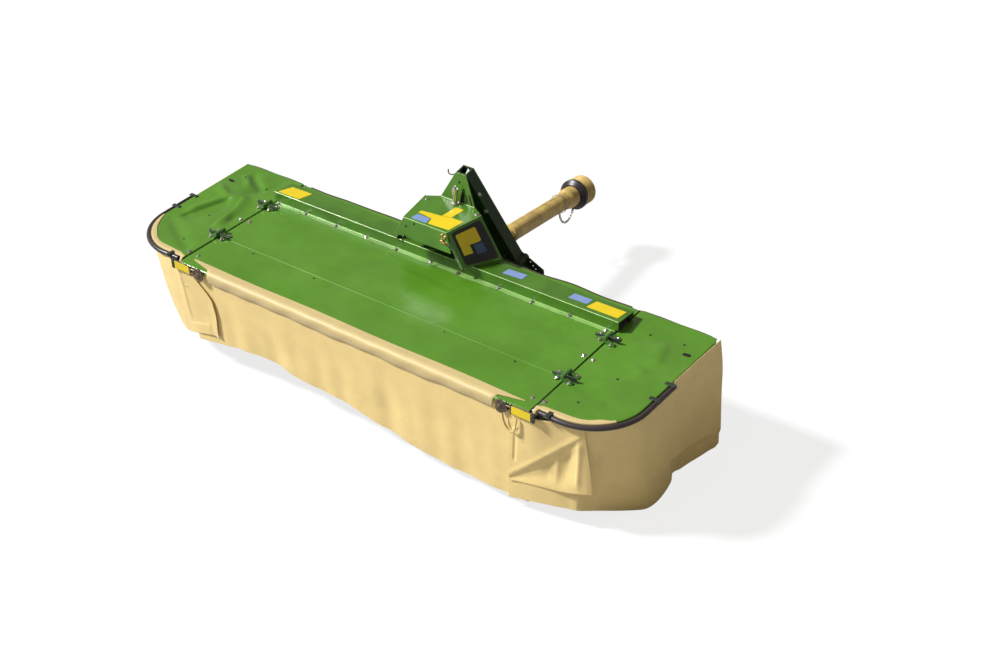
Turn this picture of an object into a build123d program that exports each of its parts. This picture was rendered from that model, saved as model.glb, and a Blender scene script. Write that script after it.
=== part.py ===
from build123d import *
import math
import os

# Front-mounted disc mower, in millimetres
# X runs across the machine, -Y is the way it drives, +Y is the tractor side, Z is up
# The origin is on the ground, straight under the middle disc's axis
# Left and right are as seen from in front of the machine, so left is -X

# Rotor spacing, which the widths of the cutterbar, beam and deck follow
ROTORS = 7
PITCH = 444.0
BAY_X = (ROTORS - 2) * PITCH / 2

# Deck and its frame
DECK_Z = 685.0
DECK_MARGIN = 33.0
DECK_HALF = BAY_X + DECK_MARGIN
DECK_FRONT = -503.0
DECK_REAR = 530.0
SHEET = 4.0
SKIRT = 27.0
EDGE_ROUND = 14.0
CREASE_Y = -184.0
CREASE_DROP = 3.0
SEAM = 0.3
RAIL = 30.0
RAIL_WALL = 3.0
CROSS_RAILS = tuple(step * BAY_X / 2 for step in (-2, -1, 0, 1, 2))
RAIL_INSET = 8.0
SEAM_FLANGE = 10.0

# Folding side guards
GUARD_GAP = 10.0
GUARD_EDGE = DECK_HALF + GUARD_GAP
HINGE_X = DECK_HALF + GUARD_GAP / 2
HINGE_RISE = 22.0
HINGE_Y = (-184.0, 200.0)
HINGE_PIN_R = 6.0
PIN_PLAY = 0.05
KNUCKLE_R = 12.0
KNUCKLE_MIDDLE = 36.0
KNUCKLE_END = 20.0
KNUCKLE_GAP = 0.5
HINGE_PLATE = 58.0
GUARD_WIDTH = 417.0
GUARD_OUTER = GUARD_EDGE + GUARD_WIDTH
GUARD_FRONT = -452.0
GUARD_FRONT_DROP = 12.0
GUARD_CORNER_R = 290.0
GUARD_FLARE = 34.0
GUARD_REAR_R = 45.0
COVER_ROUND = 6.0
PLATE_T = 5.0

# Bumper tubes round the front corners
BUMPER_R = 13.5
BUMPER_WALL = 2.5
BUMPER_STANDOFF = 16.0
BUMPER_START_X = GUARD_EDGE + 31.0
BUMPER_END_Y = 70.0
BUMPER_Z = 672.0
CLAMP = (34.0, 22.0)
CLAMP_T = 5.0
CLAMP_FRONT_X = GUARD_EDGE + 87.0
CLAMP_SIDE_Y = (-90.0, 54.0)

# Curtains
CURTAIN_T = 5.0
CURTAIN_TOP = 657.7
OVERLAP_TOP = 652.0
CURTAIN_BOTTOMS = (110.0, 20.0)
SOFT_GAP = 0.3
FRONT_LEAN = 42.0
CORNER_X = DECK_HALF - 113.0
CORNER_GAP = 5.0
FRONT_CURTAIN_HALF = DECK_HALF - 23.0
FRONT_BOTTOM = 45.0
CORNER_FRONT = DECK_FRONT + EDGE_ROUND - CURTAIN_T - CORNER_GAP

# Latches and label brackets on the deck's front edge
LATCH_X = DECK_HALF - 153.0
LATCH_Z = 655.0
LATCH = (50.0, 76.0)
LATCH_ROUND = 22.0
LATCH_HOLE_R = 9.0
LATCH_T = 8.0
LATCH_OUT = 8.0
LATCH_BAR = 14.0
LABEL_X = DECK_HALF - 12.0
LABEL_Z = 665.0
LABEL = (110.0, 50.0)

# Cross beam
BEAM_HALF = DECK_HALF + 17.0
BEAM_FRONT = 280.0
BEAM_DEPTH = 153.0
BEAM_BOTTOM = 600.0
BEAM_TOP_FRONT = 749.0
BEAM_TOP_REAR = 732.0
BEAM_WALL = 6.0
BEAM_CLEAR = 12.0
BEAM_REAR = BEAM_FRONT + BEAM_DEPTH

# Cutterbar, rotors and knives
BAR_HALF = (ROTORS - 1) * PITCH / 2 + 168.0
BAR_FRONT = -115.0
BAR_REAR = 150.0
BAR_BOTTOM = 14.0
BAR_TOP = 78.0
LOBE_MARGIN = 5.0
LOBE_TOP = 58.0
HUB_R = 70.0
HUB_TOP = 98.0
SPINDLE_R = 20.0
SPINDLE_TOP = 122.0
ROTOR_GAP = 0.3
KNIFE_OVERLAP = 28.0
KNIFE_SHOWS = 50.0
ROTOR_CLEAR = 34.0
KNIFE_TIP_R = PITCH / 2 + KNIFE_OVERLAP
DISC_LONG = KNIFE_TIP_R - KNIFE_SHOWS
DISC_SHORT = PITCH - KNIFE_TIP_R - ROTOR_CLEAR
LOBE_R = DISC_SHORT + LOBE_MARGIN
DISC_T = 8.0
DOME_R = 98.0
DOME_TOP_R = 62.0
DOME_H = 44.0
KNIFE_LENGTH = 105.0
KNIFE_WIDTH = 48.0
KNIFE_T = 4.0
DRUM_FOOT_R = 150.0
DRUM_TOP_R = 128.0
DRUM_TOP = 425.0
DRUM_WALL = 4.0
DRUM_VANES = 4
VANE = 14.0
VANE_T = 10.0
SKID_WIDTH = 190.0
SKID_T = 14.0

# Hangers from the beam down to the cutterbar
HANGER_T = 20.0
HANGER_X = BAY_X - HANGER_T / 2
HANGER_FOOT = 110.0
HANGER_HEEL = (170.0, 150.0)
HANGER_WAIST_Z = 400.0
HANGER_THROAT = (50.0, 170.0)

# Gearbox and side drive
GEARBOX_HALF = 130.0
GEARBOX_FRONT = 170.0
GEARBOX_REAR = 560.0
GEARBOX_BOTTOM = 440.0
SIDE_SHAFT_Y = 225.0
SIDE_SHAFT_Z = 520.0
SIDE_TUBE_R = 42.0
DRUM_BOX_HALF = 75.0
DRUM_BOX_TOP = 590.0
DRUM_BOX_BOTTOM = 450.0

# Headstock cowl and coupling triangle
TRIANGLE_TOP = 1115.0
TRIANGLE_TOP_HALF = 34.0
TRIANGLE_FRONT = 537.0
TRIANGLE_LEAN_DEG = 10.5
TRIANGLE_LENGTH = 600.0
TRIANGLE_DEPTH = 70.0
TRIANGLE_RUN = 0.53
TRIANGLE_LEG = 110.0
TRIANGLE_PLATE = 8.0
TRIANGLE_LIP = 32.0
END_PLATE_RISE = 120.0
END_PLATE_REACH = 95.0
END_PLATE_EDGE = 32.0
END_HOLES = ((27.0, 61.0), (29.0, 37.0), (36.0, 19.0))
END_HOLE_R = 7.0
BOSS_R = 20.0
BOSS_RISE = 78.0
BOSS_OUT = 10.0
RISER_HEIGHT = 158.0
RISER_SEAT = 30.0
COWL_BASE_Z = 752.0
COWL_TOP_Z = TRIANGLE_TOP - RISER_HEIGHT
COWL_REAR = 505.0
COWL_BASE = ((229.0, 230.0), (346.0, 432.0), (250.0, COWL_REAR))
COWL_TOP = ((142.0, 207.0), (188.0, 457.0), (114.0, COWL_REAR))
COWL_WALL = 5.0
COWL_LEG = 20.0
COWL_FOOT = 20.0
FLAP_HALF = 187.0
FLAP_FRONT = 182.0
FLAP_DROP = 102.0
LEFT_NOTCH = (60.0, 105.0)
ARM_X = 230.0
ARM_T = 12.0
ARM_BOTTOM = 560.0
ARM_TOP = 648.0
LATCH_SPINDLE_Y = 478.0

# Drive shaft to the tractor
JOINT_Y = 660.0
JOINT_Z = 540.0
SHAFT_DROP_DEG = 5.3
YOKE_R = 25.0
YOKE_EAR = (34.0, 12.0, 18.0)
YOKE_REACH = 60.0
CROSS_R = 12.0
INNER_BAR_R = 19.0
OUTER_TUBE_R = 27.0
SPLINE_BORE_R = 17.5
SPLINE_LENGTH = 60.0
INNER_GUARD_R = 44.0
OUTER_GUARD_R = 52.0
GUARD_WALL = 4.0
GUARD_PLAY = 0.5
CONE_R = 78.0
INNER_CONE_START = 76.0
INNER_CONE_END = 146.0
INNER_GUARD_END = 760.0
OUTER_GUARD_START = 330.0
COLLAR_START = 925.0
COLLAR_R = 64.0
RING_START = 1030.0
RING_R = 96.0
BELL_END = 1150.0
BELL_R = 92.0
BELL_RIBS = 5
BRIDGE_T = 10.0
YOKE_TIP = 18.0
HUB_LENGTH = 90.0
INNER_BAR_END = 845.0
OUTER_TUBE_START = 380.0
OUTER_JOINT = 1025.0
EYE_R = 9.0
EYE_HOLE_R = 5.0
EYE_T = 4.0
EYE_PLAY = 0.85
CHAIN_WIRE = 4.0
CHAIN_LINKS = 13
LINK_WIDTH = 15.0
LINK_PLAY = 0.2
REST_REACH = 210.0
REST_T = 8.0
REST_HALF = 66.0
REST_HORN = 46.0

# Parking stands
STAND_X = 620.0
STAND_Y = 479.0
STAND_PIVOT_Z = 550.0
STAND_TUBE = 50.0
STAND_PIN_R = 10.0
STAND_FOOT = (120.0, 80.0, 8.0)
STAND_GAP = 1.0
STAND_CHEEK = 8.0
STAND_BRACKET = 80.0
STAND_BRACKET_DROP = 30.0
STAND_PLATE_Z = 610.0

# Hem of the front curtain: place across its half width, and height
FRONT_HEM = (
    (-1.0, 155.0),
    (-0.67, 222.0),
    (-0.51, 230.0),
    (-0.32, 200.0),
    (0.0, 170.0),
    (0.17, 132.0),
    (0.4, 88.0),
    (0.62, 62.0),
    (1.0, 70.0),
)

# Safety chain of the shaft guard: y and z from the eye under the tube to the eye on the ring
CHAIN_ROUTE = (
    (1533.0, 401.2),
    (1547.0, 352.0),
    (1578.0, 307.0),
    (1617.0, 288.0),
    (1652.0, 297.0),
    (1677.0, 319.0),
    (1688.7, 342.6),
)

SIDES = ((-1, "left"), (1, "right"))

os.makedirs("parts", exist_ok=True)

HINGE_Z = DECK_Z + HINGE_RISE
JOINT_PLANE = Plane(
    origin=(0, JOINT_Y, JOINT_Z),
    x_dir=(1, 0, 0),
    z_dir=(0, math.cos(math.radians(SHAFT_DROP_DEG)), -math.sin(math.radians(SHAFT_DROP_DEG))),
)


def rotor_x(index):
    """X of a rotor's axis, counted from the left end."""
    return (index - (ROTORS - 1) / 2) * PITCH


# Cutterbar: flat welded bar with a lobe and a bearing spindle for each rotor
with BuildPart() as cutterbar:
    with BuildSketch(Plane.YZ) as bar_section:
        with BuildLine():
            Polyline(
                (BAR_FRONT, BAR_BOTTOM + 6),
                (BAR_FRONT + 12, BAR_BOTTOM),
                (BAR_REAR, BAR_BOTTOM),
                (BAR_REAR, BAR_TOP - 14),
                (BAR_REAR - 18, BAR_TOP),
                (BAR_FRONT + 55, BAR_TOP),
                (BAR_FRONT, BAR_BOTTOM + 36),
                close=True,
            )
        make_face()
    extrude(amount=BAR_HALF, both=True)
    with BuildSketch(Plane.XY.offset(BAR_BOTTOM)):
        with Locations([(rotor_x(i), 0) for i in range(ROTORS)]):
            Circle(LOBE_R)
    extrude(amount=LOBE_TOP - BAR_BOTTOM)
    with BuildSketch(Plane.XY.offset(BAR_TOP)):
        with Locations([(rotor_x(i), 0) for i in range(ROTORS)]):
            Circle(HUB_R)
    extrude(amount=HUB_TOP - BAR_TOP)
    with BuildSketch(Plane.XY.offset(HUB_TOP)):
        with Locations([(rotor_x(i), 0) for i in range(ROTORS)]):
            Circle(SPINDLE_R)
    extrude(amount=SPINDLE_TOP - HUB_TOP)
cutterbar.part.label = "cutterbar"
export_step(cutterbar.part, "parts/cutterbar.step")

# Skids: one curved shoe under each rotor, on which the machine rests
with BuildPart() as skids:
    with BuildSketch(Plane.YZ) as skid_section:
        with BuildLine():
            Polyline(
                (BAR_REAR, 0),
                (BAR_REAR, SKID_T),
                (-LOBE_R - 2, SKID_T),
                (-LOBE_R - 28, SKID_T + 20),
                (-LOBE_R - 38, SKID_T + 14),
                (-LOBE_R, 0),
                close=True,
            )
        make_face()
    extrude(amount=SKID_WIDTH / 2, both=True)
    skid = skids.part
with BuildPart() as skids:
    with Locations([(rotor_x(i), 0, 0) for i in range(ROTORS)]):
        add(skid)
skids.part.label = "skids"
export_step(skids.part, "parts/skids.step")

# Rotors: an oval disc with a domed cap on each spindle, two knives below it
for index in range(ROTORS):
    turned = 90 * (index % 2)
    base = Plane.XY.offset(HUB_TOP + ROTOR_GAP)
    with BuildPart() as disc:
        with BuildSketch(base):
            with Locations((rotor_x(index), 0)):
                Ellipse(DISC_LONG, DISC_SHORT, rotation=turned)
        extrude(amount=DISC_T)
        with BuildSketch(base.offset(DISC_T)):
            with Locations((rotor_x(index), 0)):
                Circle(DOME_R)
        with BuildSketch(base.offset(DISC_T + DOME_H)):
            with Locations((rotor_x(index), 0)):
                Circle(DOME_TOP_R)
        loft()
        with Locations((rotor_x(index), 0, HUB_TOP + ROTOR_GAP)):
            Cylinder(
                SPINDLE_R + PIN_PLAY,
                SPINDLE_TOP - HUB_TOP,
                align=(Align.CENTER, Align.CENTER, Align.MIN),
                mode=Mode.SUBTRACT,
            )
    disc.part.label = f"disc_{index + 1}"
    export_step(disc.part, f"parts/disc_{index + 1}.step")

    with BuildPart() as knives:
        with BuildSketch(base.offset(-KNIFE_T)):
            for way in (-1, 1):
                reach = way * (KNIFE_TIP_R - KNIFE_LENGTH / 2)
                centre = (reach, 0) if turned == 0 else (0, reach)
                with Locations((rotor_x(index) + centre[0], centre[1])):
                    Rectangle(KNIFE_LENGTH, KNIFE_WIDTH, rotation=turned)
        extrude(amount=KNIFE_T)
    knives.part.label = f"knives_{index + 1}"
    export_step(knives.part, f"parts/knives_{index + 1}.step")

# Drums: tapered shells with vanes on the two outer rotors
for side, name in SIDES:
    drum_x = side * rotor_x(ROTORS - 1)
    drum_base = HUB_TOP + ROTOR_GAP + DISC_T
    with BuildPart() as drum:
        with BuildSketch(Plane.XZ) as drum_section:
            with BuildLine():
                Polyline(
                    (DRUM_FOOT_R - DRUM_WALL, drum_base),
                    (DRUM_FOOT_R, drum_base),
                    (DRUM_TOP_R, DRUM_TOP),
                    (0, DRUM_TOP),
                    (0, DRUM_TOP - DRUM_WALL),
                    (DRUM_TOP_R - DRUM_WALL, DRUM_TOP - DRUM_WALL),
                    close=True,
                )
            make_face()
        revolve(axis=Axis.Z)
        with BuildSketch(Plane.XZ):
            with BuildLine():
                Polyline(
                    (DRUM_FOOT_R - DRUM_WALL / 2, drum_base),
                    (DRUM_FOOT_R + VANE, drum_base),
                    (DRUM_TOP_R + VANE, DRUM_TOP - 12),
                    (DRUM_TOP_R - DRUM_WALL / 2, DRUM_TOP - 12),
                    close=True,
                )
            make_face()
        vane = extrude(amount=VANE_T / 2, both=True, mode=Mode.PRIVATE)
        with PolarLocations(0, DRUM_VANES, start_angle=45):
            add(vane)
    drum_shell = drum.part
    with BuildPart() as drum:
        with Locations((drum_x, 0, 0)):
            add(drum_shell)
    drum.part.label = f"drum_{name}"
    export_step(drum.part, f"parts/drum_{name}.step")

# Cross beam: folded box section with open ends, carried above the deck
BEAM_OUTLINE = (
    (BEAM_FRONT, BEAM_BOTTOM),
    (BEAM_FRONT, BEAM_TOP_FRONT),
    (BEAM_REAR, BEAM_TOP_REAR),
    (BEAM_REAR, BEAM_BOTTOM),
)
with BuildPart() as beam:
    with BuildSketch(Plane.YZ):
        with BuildLine():
            Polyline(*BEAM_OUTLINE, close=True)
        make_face()
        offset(amount=-BEAM_WALL, mode=Mode.SUBTRACT, kind=Kind.INTERSECTION)
    extrude(amount=BEAM_HALF, both=True)
    for side, _ in SIDES:
        with Locations((side * BEAM_HALF, (BEAM_FRONT + BEAM_REAR) / 2, BEAM_BOTTOM)):
            Box(
                2 * (BEAM_HALF - DECK_HALF),
                BEAM_DEPTH + 2,
                DECK_Z + BEAM_CLEAR - BEAM_BOTTOM,
                align=(Align.CENTER, Align.CENTER, Align.MIN),
                mode=Mode.SUBTRACT,
            )
beam.part.label = "cross_beam"
export_step(beam.part, "parts/cross_beam.step")

# Hangers: plates from the beam's underside down to the cutterbar's rear face
with BuildPart() as hangers:
    for side, _ in SIDES:
        with BuildSketch(Plane.YZ.offset(side * HANGER_X)):
            with BuildLine():
                Polyline(
                    (BAR_REAR, BAR_BOTTOM + 6),
                    (BAR_REAR + HANGER_FOOT, BAR_BOTTOM + 6),
                    (BAR_REAR + HANGER_HEEL[0], HANGER_HEEL[1]),
                    (BEAM_REAR - 40, HANGER_WAIST_Z),
                    (BEAM_REAR - 6, BEAM_BOTTOM),
                    (BEAM_FRONT + 6, BEAM_BOTTOM),
                    (BEAM_FRONT, HANGER_WAIST_Z),
                    (BAR_REAR + HANGER_THROAT[0], HANGER_THROAT[1]),
                    (BAR_REAR, BAR_TOP - 14),
                    close=True,
                )
            make_face()
        extrude(amount=side * HANGER_T)
hangers.part.label = "hangers"
export_step(hangers.part, "parts/hangers.step")

# Deck sheet: nearly flat, creased once, rolled down along its front edge
with BuildPart() as deck:
    with BuildSketch(Plane.YZ):
        with BuildLine() as deck_line:
            FilletPolyline(
                (BEAM_FRONT - SEAM, DECK_Z),
                (CREASE_Y, DECK_Z - CREASE_DROP),
                (DECK_FRONT, DECK_Z - CREASE_DROP - 1),
                (DECK_FRONT, DECK_Z - SKIRT),
                radius=EDGE_ROUND,
            )
            offset(amount=SHEET, side=Side.LEFT)
        make_face()
    extrude(amount=DECK_HALF, both=True)
deck.part.label = "deck"
export_step(deck.part, "parts/deck.step")

# Rear strip: the deck's narrow part behind the beam, folded down at the rear
with BuildPart() as rear_strip:
    with BuildSketch(Plane.YZ):
        with BuildLine():
            FilletPolyline(
                (BEAM_REAR + SEAM, DECK_Z),
                (DECK_REAR, DECK_Z - 6),
                (DECK_REAR, DECK_Z - SKIRT - 6),
                radius=EDGE_ROUND,
            )
            offset(amount=SHEET, side=Side.RIGHT)
        make_face()
    extrude(amount=DECK_HALF, both=True)
rear_strip.part.label = "rear_strip"
export_step(rear_strip.part, "parts/rear_strip.step")

# Guard frame: front rail on cross rails that come forward from the beam
RAIL_TOP = DECK_Z - SHEET - CREASE_DROP - 1
RAIL_FRONT = DECK_FRONT + EDGE_ROUND
with BuildPart() as guard_frame:
    with BuildSketch(Plane.YZ):
        with Locations((RAIL_FRONT + RAIL / 2, RAIL_TOP - RAIL / 2)):
            Rectangle(RAIL, RAIL)
            Rectangle(RAIL - 2 * RAIL_WALL, RAIL - 2 * RAIL_WALL, mode=Mode.SUBTRACT)
    extrude(amount=DECK_HALF - RAIL_INSET, both=True)
    with BuildSketch(Plane.XZ.offset(-BEAM_FRONT)):
        with Locations([(x, RAIL_TOP - RAIL / 2) for x in CROSS_RAILS]):
            Rectangle(RAIL, RAIL)
            Rectangle(RAIL - 2 * RAIL_WALL, RAIL - 2 * RAIL_WALL, mode=Mode.SUBTRACT)
    extrude(amount=BEAM_FRONT - RAIL_FRONT - RAIL)
    flange_start = BAY_X + RAIL / 2
    flange_end = DECK_HALF + GUARD_GAP / 2
    flange_x = (flange_start + flange_end) / 2
    with BuildSketch(Plane.XZ.offset(-BEAM_FRONT)):
        with Locations([(way * flange_x, RAIL_TOP - SEAM_FLANGE / 2) for way in (-1, 1)]):
            Rectangle(flange_end - flange_start, SEAM_FLANGE)
    extrude(amount=BEAM_FRONT - RAIL_FRONT - RAIL)
guard_frame.part.label = "guard_frame"
export_step(guard_frame.part, "parts/guard_frame.step")


def deck_height(y):
    """Top of the deck sheet behind its crease."""
    return DECK_Z - CREASE_DROP * max(0, min(1, (BEAM_FRONT - SEAM - y) / (BEAM_FRONT - SEAM - CREASE_Y)))


# Hinge brackets on the fixed deck, one row for each folding guard
with BuildPart() as hinge_brackets:
    for side, _ in SIDES:
        for hinge_y in HINGE_Y:
            with BuildSketch(Plane.XZ.offset(-hinge_y)):
                seat = deck_height(hinge_y + KNUCKLE_MIDDLE / 2)
                with Locations((side * HINGE_X, HINGE_Z)):
                    Circle(KNUCKLE_R)
                with BuildLine():
                    Polyline(
                        (side * (HINGE_X - KNUCKLE_R), HINGE_Z),
                        (side * (HINGE_X - HINGE_PLATE), seat + PLATE_T),
                        (side * (HINGE_X - HINGE_PLATE), seat),
                        (side * (HINGE_X - 6), seat),
                        (side * (HINGE_X - 4), HINGE_Z - 8),
                        close=True,
                    )
                make_face()
                with Locations((side * HINGE_X, HINGE_Z)):
                    Circle(HINGE_PIN_R + PIN_PLAY, mode=Mode.SUBTRACT)
            extrude(amount=KNUCKLE_MIDDLE / 2, both=True)
hinge_brackets.part.label = "hinge_brackets"
export_step(hinge_brackets.part, "parts/hinge_brackets.step")


def guard_outline(inset):
    """Corners of the right side guard's plan, moved in from its outer edges by inset."""
    return (
        (GUARD_EDGE + max(inset, 0), GUARD_FRONT + inset),
        (GUARD_OUTER - inset, GUARD_FRONT - GUARD_FRONT_DROP + inset),
        (GUARD_OUTER + GUARD_FLARE - inset, DECK_REAR - inset),
        (GUARD_EDGE + max(inset, 0), DECK_REAR - inset),
    )


def guard_plan(inset):
    """Plan of the right side guard as a sketch with rounded outer corners."""
    with BuildSketch() as plan:
        with BuildLine():
            Polyline(*guard_outline(inset), close=True)
        make_face()
        fillet(plan.vertices().sort_by(Axis.Y)[0], radius=GUARD_CORNER_R - inset)
        fillet(plan.vertices().sort_by(Axis.X)[-1], radius=max(GUARD_REAR_R - inset, 4))
    return plan.sketch


# Side covers: shallow trays with a rounded outer corner, open below
for side, name in SIDES:
    with BuildPart() as cover:
        with BuildSketch(Plane.XY.offset(DECK_Z - SKIRT)):
            add(guard_plan(0))
        extrude(amount=SKIRT)
        fillet(faces().sort_by(Axis.Z)[-1].edges(), radius=COVER_ROUND)
        with BuildSketch(Plane.XY.offset(DECK_Z - SKIRT)):
            add(guard_plan(SHEET))
        extrude(amount=SKIRT - SHEET, mode=Mode.SUBTRACT)
    tray = cover.part
    with BuildPart() as cover:
        add(tray if side > 0 else tray.mirror(Plane.YZ))
    cover.part.label = f"side_cover_{name}"
    export_step(cover.part, f"parts/side_cover_{name}.step")

# Side frames: square tube inside each cover, with the moving knuckles and hinge pins
for side, name in SIDES:
    with BuildPart() as side_frame:
        with BuildSketch(Plane.XY.offset(DECK_Z - SHEET - RAIL)):
            add(guard_plan(SHEET))
            add(guard_plan(SHEET + RAIL), mode=Mode.SUBTRACT)
        extrude(amount=RAIL)
        for hinge_y in HINGE_Y:
            reach = KNUCKLE_MIDDLE / 2 + KNUCKLE_GAP
            for way in (-1, 1):
                start = hinge_y + way * reach
                with BuildSketch(Plane.XZ.offset(-start)):
                    with Locations((HINGE_X, HINGE_Z)):
                        Circle(KNUCKLE_R)
                    with BuildLine():
                        Polyline(
                            (HINGE_X + KNUCKLE_R, HINGE_Z),
                            (HINGE_X + HINGE_PLATE, DECK_Z + PLATE_T),
                            (HINGE_X + HINGE_PLATE, DECK_Z),
                            (HINGE_X + 6, DECK_Z),
                            (HINGE_X + 4, HINGE_Z - 8),
                            close=True,
                        )
                    make_face()
                extrude(amount=-way * KNUCKLE_END)
            with BuildSketch(Plane.XZ.offset(-hinge_y)):
                with Locations((HINGE_X, HINGE_Z)):
                    Circle(HINGE_PIN_R)
            extrude(amount=reach + KNUCKLE_END, both=True)
        moving = side_frame.part
    with BuildPart() as side_frame:
        add(moving if side > 0 else moving.mirror(Plane.YZ))
    side_frame.part.label = f"side_frame_{name}"
    export_step(side_frame.part, f"parts/side_frame_{name}.step")

# Bumper tubes: bent round the front outer corner, held off the cover by three clamps
for side, name in SIDES:
    corners = guard_outline(-BUMPER_STANDOFF)
    with BuildPart() as bumper:
        with BuildLine() as bend:
            FilletPolyline(
                (BUMPER_START_X, corners[0][1] - 2, BUMPER_Z),
                (corners[1][0], corners[1][1], BUMPER_Z),
                (corners[1][0] + 18, BUMPER_END_Y, BUMPER_Z),
                radius=GUARD_CORNER_R + BUMPER_STANDOFF,
            )
        with BuildSketch(Plane(bend.line @ 0, z_dir=bend.line % 0)):
            Circle(BUMPER_R)
            Circle(BUMPER_R - BUMPER_WALL, mode=Mode.SUBTRACT)
        sweep()
    tube = bumper.part
    with BuildPart() as bumper:
        add(tube if side > 0 else tube.mirror(Plane.YZ))
    bumper.part.label = f"bumper_{name}"
    export_step(bumper.part, f"parts/bumper_{name}.step")

# Bumper clamps: three straps from each cover's edge round its tube
for side, name in SIDES:
    corners = guard_outline(-BUMPER_STANDOFF)
    with BuildPart() as clamps:
        for clamp_x, clamp_y, turn in (
            (CLAMP_FRONT_X, corners[0][1] - 6, 90),
            (corners[1][0] + 2, CLAMP_SIDE_Y[0], 0),
            (corners[1][0] + 7, CLAMP_SIDE_Y[1], 0),
        ):
            with BuildSketch(Plane.XY.offset(BUMPER_Z + BUMPER_R)):
                with Locations(Location((clamp_x, clamp_y, 0), (0, 0, turn))):
                    with Locations((-CLAMP[0] / 2 + BUMPER_R, 0)):
                        Rectangle(CLAMP[0] + 20, CLAMP[1])
            extrude(amount=CLAMP_T)
    straps = clamps.part
    with BuildPart() as clamps:
        add(straps if side > 0 else straps.mirror(Plane.YZ))
    clamps.part.label = f"bumper_clamps_{name}"
    export_step(clamps.part, f"parts/bumper_clamps_{name}.step")

# Front curtain: hangs from the front rail and leans in towards its hem
with BuildPart() as front_curtain:
    with BuildSketch(Plane.YZ):
        with BuildLine():
            Polyline(
                (RAIL_FRONT, RAIL_TOP - 2),
                (RAIL_FRONT - CURTAIN_T, RAIL_TOP - 2),
                (RAIL_FRONT - CURTAIN_T, RAIL_TOP - RAIL - 2),
                (RAIL_FRONT - CURTAIN_T + FRONT_LEAN, FRONT_BOTTOM),
                (RAIL_FRONT + FRONT_LEAN, FRONT_BOTTOM),
                (RAIL_FRONT, RAIL_TOP - RAIL - 2),
                close=True,
            )
        make_face()
    extrude(amount=FRONT_CURTAIN_HALF, both=True)
    with BuildSketch(Plane.XZ.offset(-RAIL_FRONT + 2 * CURTAIN_T)):
        with BuildLine():
            Polyline(
                (-FRONT_CURTAIN_HALF - 1, FRONT_BOTTOM - 1),
                (-FRONT_CURTAIN_HALF - 1, FRONT_HEM[0][1]),
                *[(share * FRONT_CURTAIN_HALF, height) for share, height in FRONT_HEM[1:-1]],
                (FRONT_CURTAIN_HALF + 1, FRONT_HEM[-1][1]),
                (FRONT_CURTAIN_HALF + 1, FRONT_BOTTOM - 1),
                close=True,
            )
        make_face()
    extrude(amount=-FRONT_LEAN - 4 * CURTAIN_T, mode=Mode.SUBTRACT)
front_curtain.part.label = "front_curtain"
export_step(front_curtain.part, "parts/front_curtain.step")


def curtain_outline(outset, rows):
    """Closed plan of a corner curtain from its rows of (x, y), as thick as the cloth."""
    outer = [(x + nx * (outset + CURTAIN_T), y + ny * (outset + CURTAIN_T)) for x, y, nx, ny in rows]
    inner = [(x + nx * outset, y + ny * outset) for x, y, nx, ny in rows]
    return outer + inner[::-1]


# Corner curtains: ruled cloth from the rounded guard edge down to a straight-sided hem
# Columns: x and y on the cloth's inner face, then the way it faces there
CORNER_ARC = guard_plan(0).edges().filter_by(GeomType.CIRCLE).sort_by(Axis.Y)[0]
ARC_STEPS = 5


def rail_corner(step):
    """Row of the curtain's rail on a circle just outside the guard's rounded corner."""
    turn = math.radians(-90 + 90 * (step + 0.5) / ARC_STEPS)
    reach = GUARD_CORNER_R / math.cos(math.radians(45 / ARC_STEPS)) - 1
    centre = CORNER_ARC.arc_center
    facing = (math.cos(turn), math.sin(turn))
    return (centre.X + reach * facing[0], centre.Y + reach * facing[1], *facing)


CURTAIN_RAIL = (
    (CORNER_X, CORNER_FRONT, 0, -1),
    (HINGE_X, CORNER_FRONT, 0, -1),
    (GUARD_EDGE + 87.0, GUARD_FRONT - 2.5, 0, -1),
    *[rail_corner(step) for step in range(ARC_STEPS)],
    (GUARD_OUTER + GUARD_FLARE, DECK_REAR, 1, 0),
)
CURTAIN_HEM = (
    (CORNER_X, CORNER_FRONT + FRONT_LEAN, 0, -1),
    (HINGE_X, CORNER_FRONT + FRONT_LEAN, 0, -1),
    (GUARD_EDGE + 90.0, -385.0, 0.2, -0.98),
    (GUARD_EDGE + 170.0, -318.0, 0.5, -0.87),
    (GUARD_OUTER - 170.0, -265.0, 0.6, -0.8),
    (GUARD_OUTER - 102.0, -208.0, 0.6, -0.8),
    (GUARD_OUTER - 34.0, -152.0, 0.6, -0.8),
    (GUARD_OUTER + 30.0, -92.0, 0.9, -0.44),
    (GUARD_OUTER + 66.0, 640.0, 1, 0),
)
for (side, name), bottom in zip(SIDES, CURTAIN_BOTTOMS):
    with BuildPart() as curtain:
        with BuildSketch(Plane.XY.offset(CURTAIN_TOP)):
            with BuildLine():
                Polyline(*curtain_outline(SOFT_GAP, CURTAIN_RAIL), close=True)
            make_face()
        with BuildSketch(Plane.XY.offset(bottom)):
            with BuildLine():
                Polyline(*curtain_outline(SOFT_GAP, CURTAIN_HEM), close=True)
            make_face()
        loft(ruled=True)
        with Locations((CORNER_X - 1, CORNER_FRONT, OVERLAP_TOP)):
            Box(
                GUARD_EDGE - CORNER_X,
                4 * CURTAIN_T,
                2 * (CURTAIN_TOP - OVERLAP_TOP),
                align=(Align.MIN, Align.CENTER, Align.MIN),
                mode=Mode.SUBTRACT,
            )
    cloth = curtain.part
    with BuildPart() as curtain:
        add(cloth if side > 0 else cloth.mirror(Plane.YZ))
    curtain.part.label = f"corner_curtain_{name}"
    export_step(curtain.part, f"parts/corner_curtain_{name}.step")

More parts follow.
